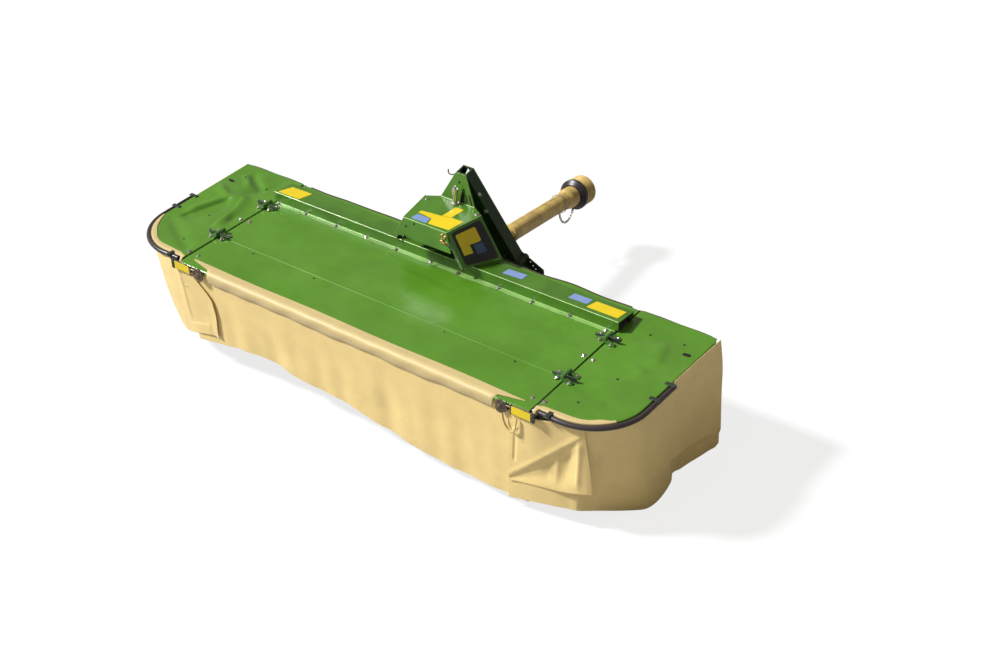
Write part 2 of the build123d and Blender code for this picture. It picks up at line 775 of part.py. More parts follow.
# Latches and blank label brackets on the deck's front edge
with BuildPart() as latches:
    for side, _ in SIDES:
        with BuildSketch(Plane.XZ.offset(-DECK_FRONT + LATCH_OUT)):
            with Locations((side * LATCH_X, LATCH_Z)):
                RectangleRounded(LATCH[0], LATCH[1], LATCH_ROUND)
                Circle(LATCH_HOLE_R, mode=Mode.SUBTRACT)
            with Locations((side * LABEL_X, LABEL_Z)):
                Rectangle(LABEL[0], LABEL[1])
        extrude(amount=LATCH_T)
        with BuildSketch(Plane.XZ.offset(-DECK_FRONT)):
            bar_start = LATCH_X - LATCH[0] / 2
            with Locations((side * (bar_start + DECK_HALF) / 2, DECK_Z - CREASE_DROP - LATCH_BAR)):
                Rectangle(DECK_HALF - bar_start, LATCH_BAR)
        extrude(amount=LATCH_OUT)
latches.part.label = "latches"
export_step(latches.part, "parts/latches.step")


def cowl_plan(corners, inset):
    """Closed plan of the cowl from the corners of its right half, moved in by inset."""
    front, flank, rear = corners
    right = [
        (front[0] - inset, front[1] + inset),
        (flank[0] - inset, flank[1]),
        (rear[0] - inset, rear[1] - inset),
    ]
    return right + [(-x, y) for x, y in reversed(right)]


# Headstock cowl: tapered sheet housing over the gearbox, open below and in front, with a flap
with BuildPart() as cowl:
    for inset, mode in ((0, Mode.ADD), (COWL_WALL, Mode.SUBTRACT)):
        with BuildSketch(Plane.XY.offset(COWL_BASE_Z)):
            with BuildLine():
                Polyline(*cowl_plan(COWL_BASE, inset), close=True)
            make_face()
        with BuildSketch(Plane.XY.offset(COWL_TOP_Z - inset)):
            with BuildLine():
                Polyline(*cowl_plan(COWL_TOP, inset), close=True)
            make_face()
        loft(ruled=True, mode=mode)
    with BuildSketch(Plane.XZ.offset(-FLAP_FRONT)):
        with BuildLine():
            Polyline(
                (COWL_LEG - COWL_BASE[0][0], COWL_BASE_Z - 1),
                (COWL_BASE[0][0] - COWL_LEG, COWL_BASE_Z - 1),
                (COWL_TOP[0][0] - COWL_LEG, COWL_TOP_Z - COWL_WALL),
                (COWL_LEG - COWL_TOP[0][0], COWL_TOP_Z - COWL_WALL),
                close=True,
            )
        make_face()
    extrude(amount=FLAP_FRONT - COWL_BASE[0][1] - COWL_LEG, mode=Mode.SUBTRACT)
    with Locations((-COWL_BASE[0][0] - COWL_LEG, FLAP_FRONT, COWL_BASE_Z - 1)):
        Box(
            COWL_BASE[0][0],
            COWL_BASE[0][1] - FLAP_FRONT + LEFT_NOTCH[0],
            LEFT_NOTCH[1],
            align=(Align.MIN, Align.MIN, Align.MIN),
            mode=Mode.SUBTRACT,
        )
    with BuildSketch(Plane.XY.offset(COWL_TOP_Z - FLAP_DROP)):
        with Locations((0, FLAP_FRONT + COWL_WALL / 2)):
            Rectangle(2 * FLAP_HALF, COWL_WALL)
    with BuildSketch(Plane.XY.offset(COWL_TOP_Z)):
        with Locations((0, COWL_TOP[0][1] + COWL_WALL / 2)):
            Rectangle(2 * COWL_TOP[0][0], COWL_WALL)
    loft(ruled=True)
    (front_x, front_y), (flank_x, flank_y) = COWL_BASE[:2]
    for side, _ in SIDES:
        foot = []
        for share, outwards in ((0.4, 0), (0.9, 0), (0.9, 1), (0.4, 1)):
            foot_x = front_x + share * (flank_x - front_x) - COWL_WALL + (outwards - 0.5) * COWL_FOOT
            foot.append((side * foot_x, front_y + share * (flank_y - front_y)))
        with BuildSketch(Plane.XY.offset(BEAM_TOP_REAR)):
            with BuildLine():
                Polyline(*foot, close=True)
            make_face()
        extrude(amount=COWL_BASE_Z - BEAM_TOP_REAR + COWL_FOOT / 2)
    with BuildSketch(Plane.YZ):
        with BuildLine():
            Polyline(*BEAM_OUTLINE, close=True)
        make_face()
    extrude(amount=BEAM_HALF, both=True, mode=Mode.SUBTRACT)
cowl.part.label = "headstock_cowl"
export_step(cowl.part, "parts/headstock_cowl.step")

# The triangle's own plane: its front face, leaning back towards the tractor on the way down
LEAN = math.radians(TRIANGLE_LEAN_DEG)
TRIANGLE_PLANE = Plane(
    origin=(0, TRIANGLE_FRONT, TRIANGLE_TOP),
    x_dir=(1, 0, 0),
    z_dir=(0, -math.cos(LEAN), -math.sin(LEAN)),
)


def triangle_face(z):
    """Where the triangle's front face is along Y at a height."""
    return TRIANGLE_FRONT + (TRIANGLE_TOP - z) * math.tan(LEAN)


def leg_outline(width):
    """Closed outline of the triangle's right leg in its plane, width measured along X."""
    foot = TRIANGLE_TOP_HALF + TRIANGLE_LENGTH * TRIANGLE_RUN
    outer = [(TRIANGLE_TOP_HALF, 0), (foot, -TRIANGLE_LENGTH), (foot - width, -TRIANGLE_LENGTH)]
    if width < TRIANGLE_TOP_HALF:
        return outer + [(TRIANGLE_TOP_HALF - width, 0)]
    crotch = (foot - width) / TRIANGLE_RUN - TRIANGLE_LENGTH
    return outer + [(0, crotch), (0, 0)]


def leg_edge(rise):
    """X of the leg's outer edge at a rise above its foot."""
    return TRIANGLE_TOP_HALF + (TRIANGLE_LENGTH - rise) * TRIANGLE_RUN


# Coupling triangle: inverted V of channel section, open at the top and towards the tractor
SLANT = math.hypot(1, TRIANGLE_RUN)
with BuildPart() as triangle:
    for start, depth, width in (
        (0, TRIANGLE_PLATE, TRIANGLE_LEG * SLANT),
        (0, TRIANGLE_DEPTH, TRIANGLE_PLATE * SLANT),
        (TRIANGLE_DEPTH - TRIANGLE_PLATE, TRIANGLE_PLATE, TRIANGLE_LIP * SLANT),
    ):
        with BuildSketch(TRIANGLE_PLANE.offset(-start)):
            with BuildLine():
                Polyline(*leg_outline(width), close=True)
            make_face()
            mirror(about=Plane.YZ)
        extrude(amount=-depth)
    with BuildSketch(TRIANGLE_PLANE.offset(TRIANGLE_PLATE - TRIANGLE_DEPTH)):
        with BuildLine():
            Polyline(
                (leg_edge(END_PLATE_RISE) - TRIANGLE_PLATE, END_PLATE_RISE - TRIANGLE_LENGTH),
                (leg_edge(END_PLATE_EDGE) + END_PLATE_REACH, END_PLATE_EDGE - TRIANGLE_LENGTH),
                (leg_edge(END_PLATE_EDGE) + END_PLATE_REACH, -TRIANGLE_LENGTH),
                (leg_edge(0) - TRIANGLE_PLATE, -TRIANGLE_LENGTH),
                close=True,
            )
        make_face()
        with Locations([(leg_edge(rise) + out, rise - TRIANGLE_LENGTH) for out, rise in END_HOLES]):
            Circle(END_HOLE_R, mode=Mode.SUBTRACT)
        mirror(about=Plane.YZ)
    extrude(amount=-TRIANGLE_PLATE)
    with BuildSketch(TRIANGLE_PLANE):
        with Locations((leg_edge(BOSS_RISE), BOSS_RISE - TRIANGLE_LENGTH)):
            Circle(BOSS_R)
        mirror(about=Plane.YZ)
    extrude(amount=-TRIANGLE_DEPTH - BOSS_OUT)
triangle.part.label = "coupling_triangle"
export_step(triangle.part, "parts/coupling_triangle.step")

# Headstock arms: plates from the beam's rear face to the triangle's front plate
with BuildPart() as headstock_arms:
    for side, _ in SIDES:
        with BuildSketch(Plane.YZ.offset(side * ARM_X)):
            with BuildLine():
                Polyline(
                    (BEAM_REAR, BEAM_BOTTOM + 4),
                    (BEAM_REAR + 40, ARM_BOTTOM),
                    (triangle_face(ARM_BOTTOM), ARM_BOTTOM),
                    (triangle_face(ARM_TOP), ARM_TOP),
                    (BEAM_REAR, ARM_TOP),
                    close=True,
                )
            make_face()
        extrude(amount=side * ARM_T)
headstock_arms.part.label = "headstock_arms"
export_step(headstock_arms.part, "parts/headstock_arms.step")

# Riser: tapered sheet from the cowl's rear edge up to the top of the triangle
with BuildPart() as riser:
    with BuildSketch(Plane.XY.offset(COWL_TOP_Z)):
        with Locations((0, COWL_REAR - COWL_WALL / 2)):
            Rectangle(2 * COWL_TOP[-1][0], COWL_WALL)
    with BuildSketch(Plane.XY.offset(TRIANGLE_TOP)):
        with Locations((0, TRIANGLE_FRONT - COWL_WALL / 2)):
            Rectangle(2 * TRIANGLE_TOP_HALF, COWL_WALL)
    loft(ruled=True)
    seat_z = TRIANGLE_TOP - RISER_SEAT
    with BuildSketch(Plane.YZ):
        with BuildLine():
            Polyline(
                (TRIANGLE_FRONT, TRIANGLE_TOP),
                (triangle_face(seat_z), seat_z),
                (TRIANGLE_FRONT - (TRIANGLE_FRONT - COWL_REAR) * RISER_SEAT / RISER_HEIGHT, seat_z),
                close=True,
            )
        make_face()
    extrude(amount=TRIANGLE_TOP_HALF, both=True)
riser.part.label = "headstock_riser"
export_step(riser.part, "parts/headstock_riser.step")

# Latch spindle of the coupling triangle, standing on the cowl in front of the riser
with BuildPart() as spindle:
    for radius, low, high in ((22, 0, 8), (13, 8, 60), (17, 60, 92), (8, 92, 108)):
        with BuildSketch(Plane.XY.offset(COWL_TOP_Z + low)):
            with Locations((0, LATCH_SPINDLE_Y)):
                Circle(radius)
        extrude(amount=high - low)
spindle.part.label = "coupling_latch"
export_step(spindle.part, "parts/coupling_latch.step")

# Gearbox: one plain housing under the beam, with the input stub towards the tractor
with BuildPart() as gearbox:
    with BuildSketch(Plane.YZ):
        with BuildLine():
            Polyline(
                (GEARBOX_FRONT, GEARBOX_BOTTOM + 30),
                (GEARBOX_FRONT + 40, GEARBOX_BOTTOM),
                (GEARBOX_REAR, GEARBOX_BOTTOM),
                (GEARBOX_REAR, BEAM_BOTTOM),
                (GEARBOX_FRONT, BEAM_BOTTOM),
                close=True,
            )
        make_face()
    extrude(amount=GEARBOX_HALF, both=True)
    with BuildSketch(Plane.XZ.offset(-GEARBOX_REAR)):
        with Locations((0, JOINT_Z)):
            Circle(YOKE_R)
    extrude(amount=-(JOINT_Y - YOKE_REACH - GEARBOX_REAR))
gearbox.part.label = "gearbox"
export_step(gearbox.part, "parts/gearbox.step")

# Side drive: guard tube from the gearbox to the bevel housing over the left drum
drum_axis = rotor_x(0)
with BuildPart() as side_drive:
    with BuildSketch(Plane.YZ.offset(-GEARBOX_HALF)):
        with Locations((SIDE_SHAFT_Y, SIDE_SHAFT_Z)):
            Circle(SIDE_TUBE_R)
    extrude(amount=drum_axis + DRUM_BOX_HALF + GEARBOX_HALF)
    with BuildSketch(Plane.XY.offset(DRUM_BOX_BOTTOM)):
        with BuildLine():
            Polyline(
                (drum_axis - DRUM_BOX_HALF, -DRUM_BOX_HALF),
                (drum_axis + DRUM_BOX_HALF, -DRUM_BOX_HALF),
                (drum_axis + DRUM_BOX_HALF, SIDE_SHAFT_Y + 55),
                (drum_axis - DRUM_BOX_HALF, SIDE_SHAFT_Y + 55),
                close=True,
            )
        make_face()
    extrude(amount=DRUM_BOX_TOP - DRUM_BOX_BOTTOM)
    with BuildSketch(Plane.XY.offset(DRUM_BOX_BOTTOM)):
        with Locations((drum_axis, 0)):
            Circle(60)
    extrude(amount=-(DRUM_BOX_BOTTOM - DRUM_TOP - ROTOR_GAP))
side_drive.part.label = "side_drive"
export_step(side_drive.part, "parts/side_drive.step")


def fork(ears_along_x):
    """Sketch rectangles of a yoke's two ears, seen along the shaft."""
    inner, thick, half = YOKE_EAR
    centre = inner + thick / 2
    with BuildSketch() as ears:
        spots = [(way * centre, 0) if ears_along_x else (0, way * centre) for way in (-1, 1)]
        size = (thick, 2 * half) if ears_along_x else (2 * half, thick)
        with Locations(spots):
            Rectangle(*size)
    return ears.sketch


def bridge(ears_along_x):
    """Sketch of the bar that joins a yoke's ears to its hub."""
    inner, thick, half = YOKE_EAR
    long_side = 2 * (inner + thick)
    with BuildSketch() as bar:
        Rectangle(*((long_side, 2 * half) if ears_along_x else (2 * half, long_side)))
    return bar.sketch


# Input joint: the gearbox's yoke and the cross that the drive shaft swings on
GEARBOX_PLANE = Plane(origin=(0, JOINT_Y, JOINT_Z), x_dir=(1, 0, 0), z_dir=(0, 1, 0))
with BuildPart() as input_joint:
    with BuildSketch(GEARBOX_PLANE.offset(-YOKE_REACH)):
        add(bridge(False))
    extrude(amount=BRIDGE_T)
    with BuildSketch(GEARBOX_PLANE.offset(-YOKE_REACH + BRIDGE_T)):
        add(fork(False))
    extrude(amount=YOKE_REACH - BRIDGE_T + YOKE_TIP)
    with BuildSketch(Plane.XY.offset(JOINT_Z)):
        with Locations((0, JOINT_Y)):
            Circle(CROSS_R)
    extrude(amount=YOKE_EAR[0], both=True)
    with BuildSketch(Plane.YZ):
        with Locations((JOINT_Y, JOINT_Z)):
            Circle(CROSS_R)
    extrude(amount=YOKE_EAR[0] + YOKE_EAR[1], both=True)
input_joint.part.label = "input_joint"
export_step(input_joint.part, "parts/input_joint.step")

# Inner drive shaft: yoke, and the profile bar that the outer tube slides on
with BuildPart() as inner_shaft:
    with BuildSketch(JOINT_PLANE.offset(YOKE_REACH - BRIDGE_T)):
        add(bridge(True))
    extrude(amount=BRIDGE_T)
    with BuildSketch(JOINT_PLANE.offset(-YOKE_TIP)):
        add(fork(True))
    extrude(amount=YOKE_REACH - BRIDGE_T + YOKE_TIP)
    with BuildSketch(JOINT_PLANE.offset(YOKE_REACH)):
        Circle(YOKE_R)
    extrude(amount=HUB_LENGTH)
    with BuildSketch(JOINT_PLANE.offset(YOKE_REACH + HUB_LENGTH)):
        Circle(INNER_BAR_R)
    extrude(amount=INNER_BAR_END - YOKE_REACH - HUB_LENGTH)
    with BuildSketch(Plane.YZ):
        with Locations((JOINT_Y, JOINT_Z)):
            Circle(CROSS_R + PIN_PLAY)
    extrude(amount=YOKE_EAR[0] + YOKE_EAR[1] + 1, both=True, mode=Mode.SUBTRACT)
inner_shaft.part.label = "inner_shaft"
export_step(inner_shaft.part, "parts/inner_shaft.step")

# Outer drive shaft: profile tube, joint and the tractor's yoke with its splined bore
with BuildPart() as outer_shaft:
    with BuildSketch(JOINT_PLANE.offset(OUTER_TUBE_START)):
        Circle(OUTER_TUBE_R)
        Circle(INNER_BAR_R + 0.5, mode=Mode.SUBTRACT)
    extrude(amount=OUTER_JOINT - YOKE_REACH - OUTER_TUBE_START)
    with BuildSketch(JOINT_PLANE.offset(OUTER_JOINT - YOKE_REACH)):
        add(bridge(True))
    extrude(amount=BRIDGE_T)
    with BuildSketch(JOINT_PLANE.offset(OUTER_JOINT - YOKE_REACH + BRIDGE_T)):
        add(fork(True))
    extrude(amount=YOKE_REACH - BRIDGE_T + YOKE_TIP)
    with BuildSketch(JOINT_PLANE.offset(OUTER_JOINT - CROSS_R)):
        Rectangle(2 * YOKE_EAR[0], 2 * CROSS_R)
        Rectangle(2 * CROSS_R, 2 * YOKE_EAR[0])
    extrude(amount=2 * CROSS_R)
    with BuildSketch(JOINT_PLANE.offset(OUTER_JOINT - YOKE_TIP)):
        add(fork(False))
    extrude(amount=YOKE_REACH - BRIDGE_T + YOKE_TIP)
    with BuildSketch(JOINT_PLANE.offset(OUTER_JOINT + YOKE_REACH - BRIDGE_T)):
        add(bridge(False))
    extrude(amount=BRIDGE_T)
    with BuildSketch(JOINT_PLANE.offset(OUTER_JOINT + YOKE_REACH)):
        Circle(SPLINE_BORE_R + 12)
        Circle(SPLINE_BORE_R, mode=Mode.SUBTRACT)
    extrude(amount=SPLINE_LENGTH)
outer_shaft.part.label = "outer_shaft"
export_step(outer_shaft.part, "parts/outer_shaft.step")

# Guard tubes: the inner half swings with the shaft, the outer half slides over it
SHAFT_AXIS = Axis(JOINT_PLANE.origin, JOINT_PLANE.z_dir)
SHAFT_SECTION = Plane(origin=JOINT_PLANE.origin, x_dir=JOINT_PLANE.z_dir, z_dir=(1, 0, 0))
with BuildPart() as inner_guard:
    with BuildSketch(SHAFT_SECTION):
        with BuildLine():
            Polyline(
                (INNER_CONE_START, CONE_R),
                (INNER_CONE_END, INNER_GUARD_R + 8),
                (INNER_CONE_END, INNER_GUARD_R),
                (INNER_GUARD_END, INNER_GUARD_R),
                (INNER_GUARD_END, INNER_GUARD_R - GUARD_WALL),
                (INNER_CONE_END, INNER_GUARD_R - GUARD_WALL),
                (INNER_CONE_END, YOKE_R + GUARD_PLAY),
                (INNER_CONE_END - 8, YOKE_R + GUARD_PLAY),
                (INNER_CONE_END - 8, INNER_GUARD_R + 4),
                (INNER_CONE_START, CONE_R - GUARD_WALL),
                close=True,
            )
        make_face()
    revolve(axis=SHAFT_AXIS)
inner_guard.part.label = "inner_guard_tube"
export_step(inner_guard.part, "parts/inner_guard_tube.step")


def chain_eye(centre):
    """Small plate with a hole that an end link of the safety chain goes through."""
    with BuildPart() as eye:
        with BuildSketch(Plane.YZ):
            with Locations(centre):
                Circle(EYE_R)
                Circle(EYE_HOLE_R, mode=Mode.SUBTRACT)
        extrude(amount=EYE_T / 2, both=True)
    return eye.part


with BuildPart() as outer_guard:
    with BuildSketch(SHAFT_SECTION):
        with BuildLine():
            Polyline(
                (OUTER_GUARD_START, INNER_GUARD_R + GUARD_PLAY),
                (OUTER_GUARD_START, OUTER_GUARD_R),
                (COLLAR_START, OUTER_GUARD_R),
                (COLLAR_START + 30, COLLAR_R),
                (RING_START, COLLAR_R),
                (RING_START, COLLAR_R - GUARD_WALL),
                (COLLAR_START + 30, COLLAR_R - GUARD_WALL),
                (COLLAR_START + 10, OUTER_TUBE_R + GUARD_PLAY),
                (COLLAR_START, OUTER_TUBE_R + GUARD_PLAY),
                (COLLAR_START, INNER_GUARD_R + GUARD_PLAY),
                close=True,
            )
        make_face()
    revolve(axis=SHAFT_AXIS)
    add(chain_eye(CHAIN_ROUTE[0]))
outer_guard.part.label = "outer_guard_tube"
export_step(outer_guard.part, "parts/outer_guard_tube.step")

# Guard ring and bell: black collar, then a ribbed bell round the tractor's joint
with BuildPart() as guard_ring:
    with BuildSketch(SHAFT_SECTION):
        with BuildLine():
            Polyline(
                (RING_START - 14, COLLAR_R),
                (RING_START - 14, COLLAR_R + 8),
                (RING_START + 8, RING_R),
                (RING_START + 26, RING_R),
                (RING_START + 26, COLLAR_R - GUARD_WALL),
                (RING_START, COLLAR_R - GUARD_WALL),
                (RING_START, COLLAR_R),
                close=True,
            )
        make_face()
    revolve(axis=SHAFT_AXIS)
    add(chain_eye(CHAIN_ROUTE[-1]))
guard_ring.part.label = "guard_ring"
export_step(guard_ring.part, "parts/guard_ring.step")

with BuildPart() as bell:
    step = (BELL_END - RING_START - 26) / (2 * BELL_RIBS)
    outline = [(RING_START + 26, BELL_R - 8)]
    for rib in range(2 * BELL_RIBS):
        height = BELL_R if rib % 2 else BELL_R - 5
        at = RING_START + 26 + rib * step
        outline += [(at + 0.15 * step, height), (at + 0.85 * step, height)]
    outline += [
        (BELL_END, BELL_R),
        (BELL_END, BELL_R - 4 - GUARD_WALL),
        (RING_START + 26, BELL_R - 8 - GUARD_WALL),
    ]
    with BuildSketch(SHAFT_SECTION):
        with BuildLine():
            Polyline(*outline, close=True)
        make_face()
    revolve(axis=SHAFT_AXIS)
bell.part.label = "guard_bell"
export_step(bell.part, "parts/guard_bell.step")

# Safety chain: links hung between the two eyes, every second one turned on edge
with BuildLine(Plane.YZ) as chain_line:
    Spline(*CHAIN_ROUTE)
route = chain_line.edges()[0]
eye_slack = EYE_HOLE_R - CHAIN_WIRE / 2 - EYE_PLAY
link_pitch = (route.length - 2 * eye_slack - CHAIN_WIRE - LINK_PLAY) / CHAIN_LINKS
link_length = link_pitch + 2 * CHAIN_WIRE + LINK_PLAY
with BuildPart() as link:
    with BuildSketch():
        SlotOverall(link_length, LINK_WIDTH)
        SlotOverall(link_length - 2 * CHAIN_WIRE, LINK_WIDTH - 2 * CHAIN_WIRE, mode=Mode.SUBTRACT)
    extrude(amount=CHAIN_WIRE / 2, both=True)
chain_link = link.part
with BuildPart() as chain:
    for number in range(CHAIN_LINKS):
        reach = eye_slack + (link_length - CHAIN_WIRE) / 2 + number * link_pitch
        heading = route.tangent_at(reach, position_mode=PositionMode.LENGTH)
        facing = Vector(1, 0, 0) if number % 2 else heading.cross(Vector(1, 0, 0))
        place = route.position_at(reach, position_mode=PositionMode.LENGTH)
        with Locations(Plane(place, x_dir=heading, z_dir=facing)):
            add(chain_link)
chain.part.label = "guard_chain"
export_step(chain.part, "parts/guard_chain.step")

# Shaft rest: strap under the gearbox with a cradle that the guard tube lies in
rest_drop = math.tan(math.radians(SHAFT_DROP_DEG)) * REST_REACH
rest_top = JOINT_Z - rest_drop - INNER_GUARD_R / math.cos(math.radians(SHAFT_DROP_DEG)) - SOFT_GAP
with BuildPart() as shaft_rest:
    with BuildSketch(Plane.XY.offset(GEARBOX_BOTTOM - REST_T)):
        with Locations((0, (GEARBOX_REAR - 120 + JOINT_Y + REST_REACH + 12) / 2)):
            Rectangle(60, JOINT_Y + REST_REACH + 12 - GEARBOX_REAR + 120)
    extrude(amount=REST_T)
    with BuildSketch(Plane.XZ.offset(-(JOINT_Y + REST_REACH - 12))):
        with BuildLine():
            Polyline(
                (-30, GEARBOX_BOTTOM),
                (30, GEARBOX_BOTTOM),
                (REST_HALF, rest_top + REST_HORN),
                (REST_HALF - 8, rest_top + REST_HORN),
                (22, rest_top - 3),
                (-22, rest_top - 3),
                (-REST_HALF + 8, rest_top + REST_HORN),
                (-REST_HALF, rest_top + REST_HORN),
                close=True,
            )
        make_face()
    extrude(amount=-24)
shaft_rest.part.label = "shaft_rest"
export_step(shaft_rest.part, "parts/shaft_rest.step")

# Stand brackets: a clevis with its pin behind the beam for each parking stand
cheek_front = STAND_Y - STAND_TUBE / 2 - STAND_GAP - STAND_CHEEK
cheek_rear = STAND_Y + STAND_TUBE / 2 + STAND_GAP + STAND_CHEEK
with BuildPart() as stand_brackets:
    for side, _ in SIDES:
        with BuildSketch(Plane.XY.offset(STAND_PIVOT_Z - STAND_BRACKET_DROP)):
            for cheek_y in (cheek_front + STAND_CHEEK / 2, cheek_rear - STAND_CHEEK / 2):
                with Locations((side * STAND_X, cheek_y)):
                    Rectangle(STAND_BRACKET, STAND_CHEEK)
        extrude(amount=STAND_PLATE_Z - STAND_PIVOT_Z + STAND_BRACKET_DROP)
        with BuildSketch(Plane.XY.offset(STAND_PLATE_Z)):
            with Locations((side * STAND_X, (BEAM_REAR + cheek_rear) / 2)):
                Rectangle(STAND_BRACKET, cheek_rear - BEAM_REAR)
        extrude(amount=STAND_CHEEK)
        with BuildSketch(Plane.XZ.offset(-STAND_Y)):
            with Locations((side * STAND_X, STAND_PIVOT_Z)):
                Circle(STAND_PIN_R)
        extrude(amount=STAND_TUBE / 2 + STAND_GAP, both=True)
stand_brackets.part.label = "stand_brackets"
export_step(stand_brackets.part, "parts/stand_brackets.step")

# Parking stands: square leg with a foot plate, hung on the bracket's pin
for side, name in SIDES:
    stand_x = side * STAND_X
    with BuildPart() as stand:
        with BuildSketch(Plane.XY.offset(STAND_FOOT[2])):
            with Locations((stand_x, STAND_Y)):
                Rectangle(STAND_TUBE, STAND_TUBE)
        extrude(amount=STAND_PIVOT_Z + 26 - STAND_FOOT[2])
        with BuildSketch(Plane.XY):
            with Locations((stand_x, STAND_Y)):
                Rectangle(STAND_FOOT[0], STAND_FOOT[1])
        extrude(amount=STAND_FOOT[2])
        with BuildSketch(Plane.XZ.offset(-STAND_Y)):
            with Locations((stand_x, STAND_PIVOT_Z)):
                Circle(STAND_PIN_R + PIN_PLAY)
        extrude(amount=STAND_TUBE, both=True, mode=Mode.SUBTRACT)
    stand.part.label = f"stand_{name}"
    export_step(stand.part, f"parts/stand_{name}.step")
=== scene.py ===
"""Looks of a front-mounted disc mower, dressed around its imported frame."""

import logging
import math
from collections.abc import Callable, Sequence
from dataclasses import dataclass, field, replace
from enum import Enum

import bmesh
import bpy
from mathutils import Matrix, Vector, noise


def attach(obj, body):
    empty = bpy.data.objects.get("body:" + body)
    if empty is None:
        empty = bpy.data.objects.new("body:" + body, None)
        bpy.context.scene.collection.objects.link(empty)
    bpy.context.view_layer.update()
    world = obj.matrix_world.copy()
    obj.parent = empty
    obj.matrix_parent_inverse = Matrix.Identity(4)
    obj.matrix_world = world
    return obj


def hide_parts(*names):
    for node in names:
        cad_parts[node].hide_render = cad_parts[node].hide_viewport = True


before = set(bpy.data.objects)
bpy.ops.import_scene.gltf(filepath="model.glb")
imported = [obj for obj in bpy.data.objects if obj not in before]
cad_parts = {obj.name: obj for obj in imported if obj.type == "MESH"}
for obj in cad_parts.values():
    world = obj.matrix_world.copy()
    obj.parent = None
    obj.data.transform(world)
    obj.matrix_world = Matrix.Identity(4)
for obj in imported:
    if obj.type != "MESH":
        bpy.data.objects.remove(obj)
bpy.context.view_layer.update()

LOG = logging.getLogger("mower")
MM = 0.001
SIDES = {"left": -1, "right": 1}
UP = (0, 0, 1)
DOWN = (0, 0, -1)
FORWARD = (0, -1, 0)
BACK = (0, 1, 0)
ROTORS = 7
PITCH = 0.444
PLATE_UP = 0.005
FLANGE_TOP = 0.6876
SIDE_BOX_Y = 0.225
COWL_TOP = 0.957
CREASE_Y = -0.184
CREASE_Z = 0.682

Point = tuple[float, float, float]
Colour = tuple[float, float, float]
Pair = tuple[float, float]
Spots = tuple[Pair, ...]
Table = tuple[tuple[float, ...], ...]
Line = Sequence[Sequence[float]]
Surface = Callable[[float, float], Vector]
Mesh = bmesh.types.BMesh
Socket = bpy.types.NodeSocket
Tree = bpy.types.NodeTree


class Skin(Enum):
    """Fine surface texture of a finish."""

    SHEET = "painted_sheet"
    CLOTH = "coated_cloth"
    CAST = "cast_skin"
    METAL = "drawn_metal"
    MOULDED = "moulded_skin"


@dataclass(frozen=True)
class Grain:
    """How a skin is made: a slow noise that also shades it, and a fine relief over it."""

    scale: float
    detail: float
    rough: float
    depth: float
    fine_scale: float
    fine_depth: float


GRAINS = {
    Skin.SHEET: Grain(3.5, 2.0, 0.4, 14.0, 420.0, 0.12),
    Skin.CLOTH: Grain(9.0, 5.0, 0.62, 2.5, 260.0, 0.25),
    Skin.CAST: Grain(160.0, 6.0, 0.7, 1.0, 90.0, 0.4),
    Skin.METAL: Grain(30.0, 5.0, 0.6, 1.0, 500.0, 0.3),
    Skin.MOULDED: Grain(14.0, 6.0, 0.65, 1.0, 350.0, 0.3),
}


@dataclass(frozen=True)
class Finish:
    """One material of the mower: its colours, gloss, skin, wear and painted edge highlight."""

    name: str
    slot: str
    colour: Colour
    roughness: float
    skin: Skin
    metallic: float = 0.0
    coat: float = 0.0
    skin_scale: float = 1.0
    relief: float = 0.2
    mottling: float = 0.12
    # Edge colour: bare or faded where edges wear, and on the green paints a lighter green as a painted highlight.
    worn: Colour = (0.30, 0.30, 0.28)
    wear: float = 0.3
    dust: float = 0.15
    edge: float = 0.002
    sheen: float = 0.0
    # Stronger painted highlight along the edges.
    painted_edge_highlight: bool = False


DUST = (0.42, 0.36, 0.25)
GREEN = Finish(
    "gloss_green_sheet", "green_sheet", (0.088, 0.246, 0.016), 0.27, Skin.SHEET, coat=0.35, relief=0.10,
    mottling=0.10, worn=(0.36, 0.52, 0.16), wear=0.75, dust=0.10, edge=0.003, painted_edge_highlight=True,
)
DARK_GREEN = Finish(
    "green_frame_paint", "green_frame", (0.045, 0.15, 0.02), 0.32, Skin.SHEET, coat=0.3, relief=0.12,
    worn=(0.22, 0.38, 0.10), wear=0.6, dust=0.12, edge=0.003, painted_edge_highlight=True,
)
BAR_PAINT = Finish(
    "cutterbar_paint", "bar_paint", (0.055, 0.16, 0.03), 0.42, Skin.CAST, relief=0.25, mottling=0.2, wear=0.8,
    dust=0.45, edge=0.003,
)
DISC_PAINT = Finish(
    "disc_paint", "disc_paint", (0.035, 0.04, 0.035), 0.42, Skin.CAST, mottling=0.25, wear=0.9, dust=0.4,
    edge=0.003,
)
KNIFE_STEEL = Finish(
    "knife_steel", "knife_steel", (0.50, 0.48, 0.45), 0.34, Skin.METAL, metallic=1.0, relief=0.3,
    mottling=0.25, worn=(0.75, 0.74, 0.72), wear=0.8,
)
SKID_STEEL = Finish(
    "skid_steel", "skid_steel", (0.33, 0.31, 0.28), 0.45, Skin.METAL, metallic=0.9, relief=0.4, mottling=0.3,
    worn=(0.6, 0.58, 0.55), wear=0.8, dust=0.35, edge=0.003,
)
CLOTH = Finish(
    "cream_coated_cloth", "cloth", (0.86, 0.65, 0.262), 0.55, Skin.CLOTH, relief=0.25, mottling=0.05,
    worn=(0.9, 0.78, 0.50), dust=0.07, sheen=0.1,
)
TUBE_PLASTIC = Finish(
    "bumper_plastic", "bumper_plastic", (0.030, 0.022, 0.028), 0.34, Skin.MOULDED, relief=0.12, mottling=0.15,
    worn=(0.16, 0.13, 0.13), wear=0.4, dust=0.2,
)
CLAMP_PAINT = Finish(
    "clamp_paint", "clamp_steel", (0.022, 0.035, 0.024), 0.36, Skin.SHEET, relief=0.15, mottling=0.2,
    worn=(0.45, 0.45, 0.42), wear=0.9, dust=0.1, edge=0.0015, painted_edge_highlight=True,
)
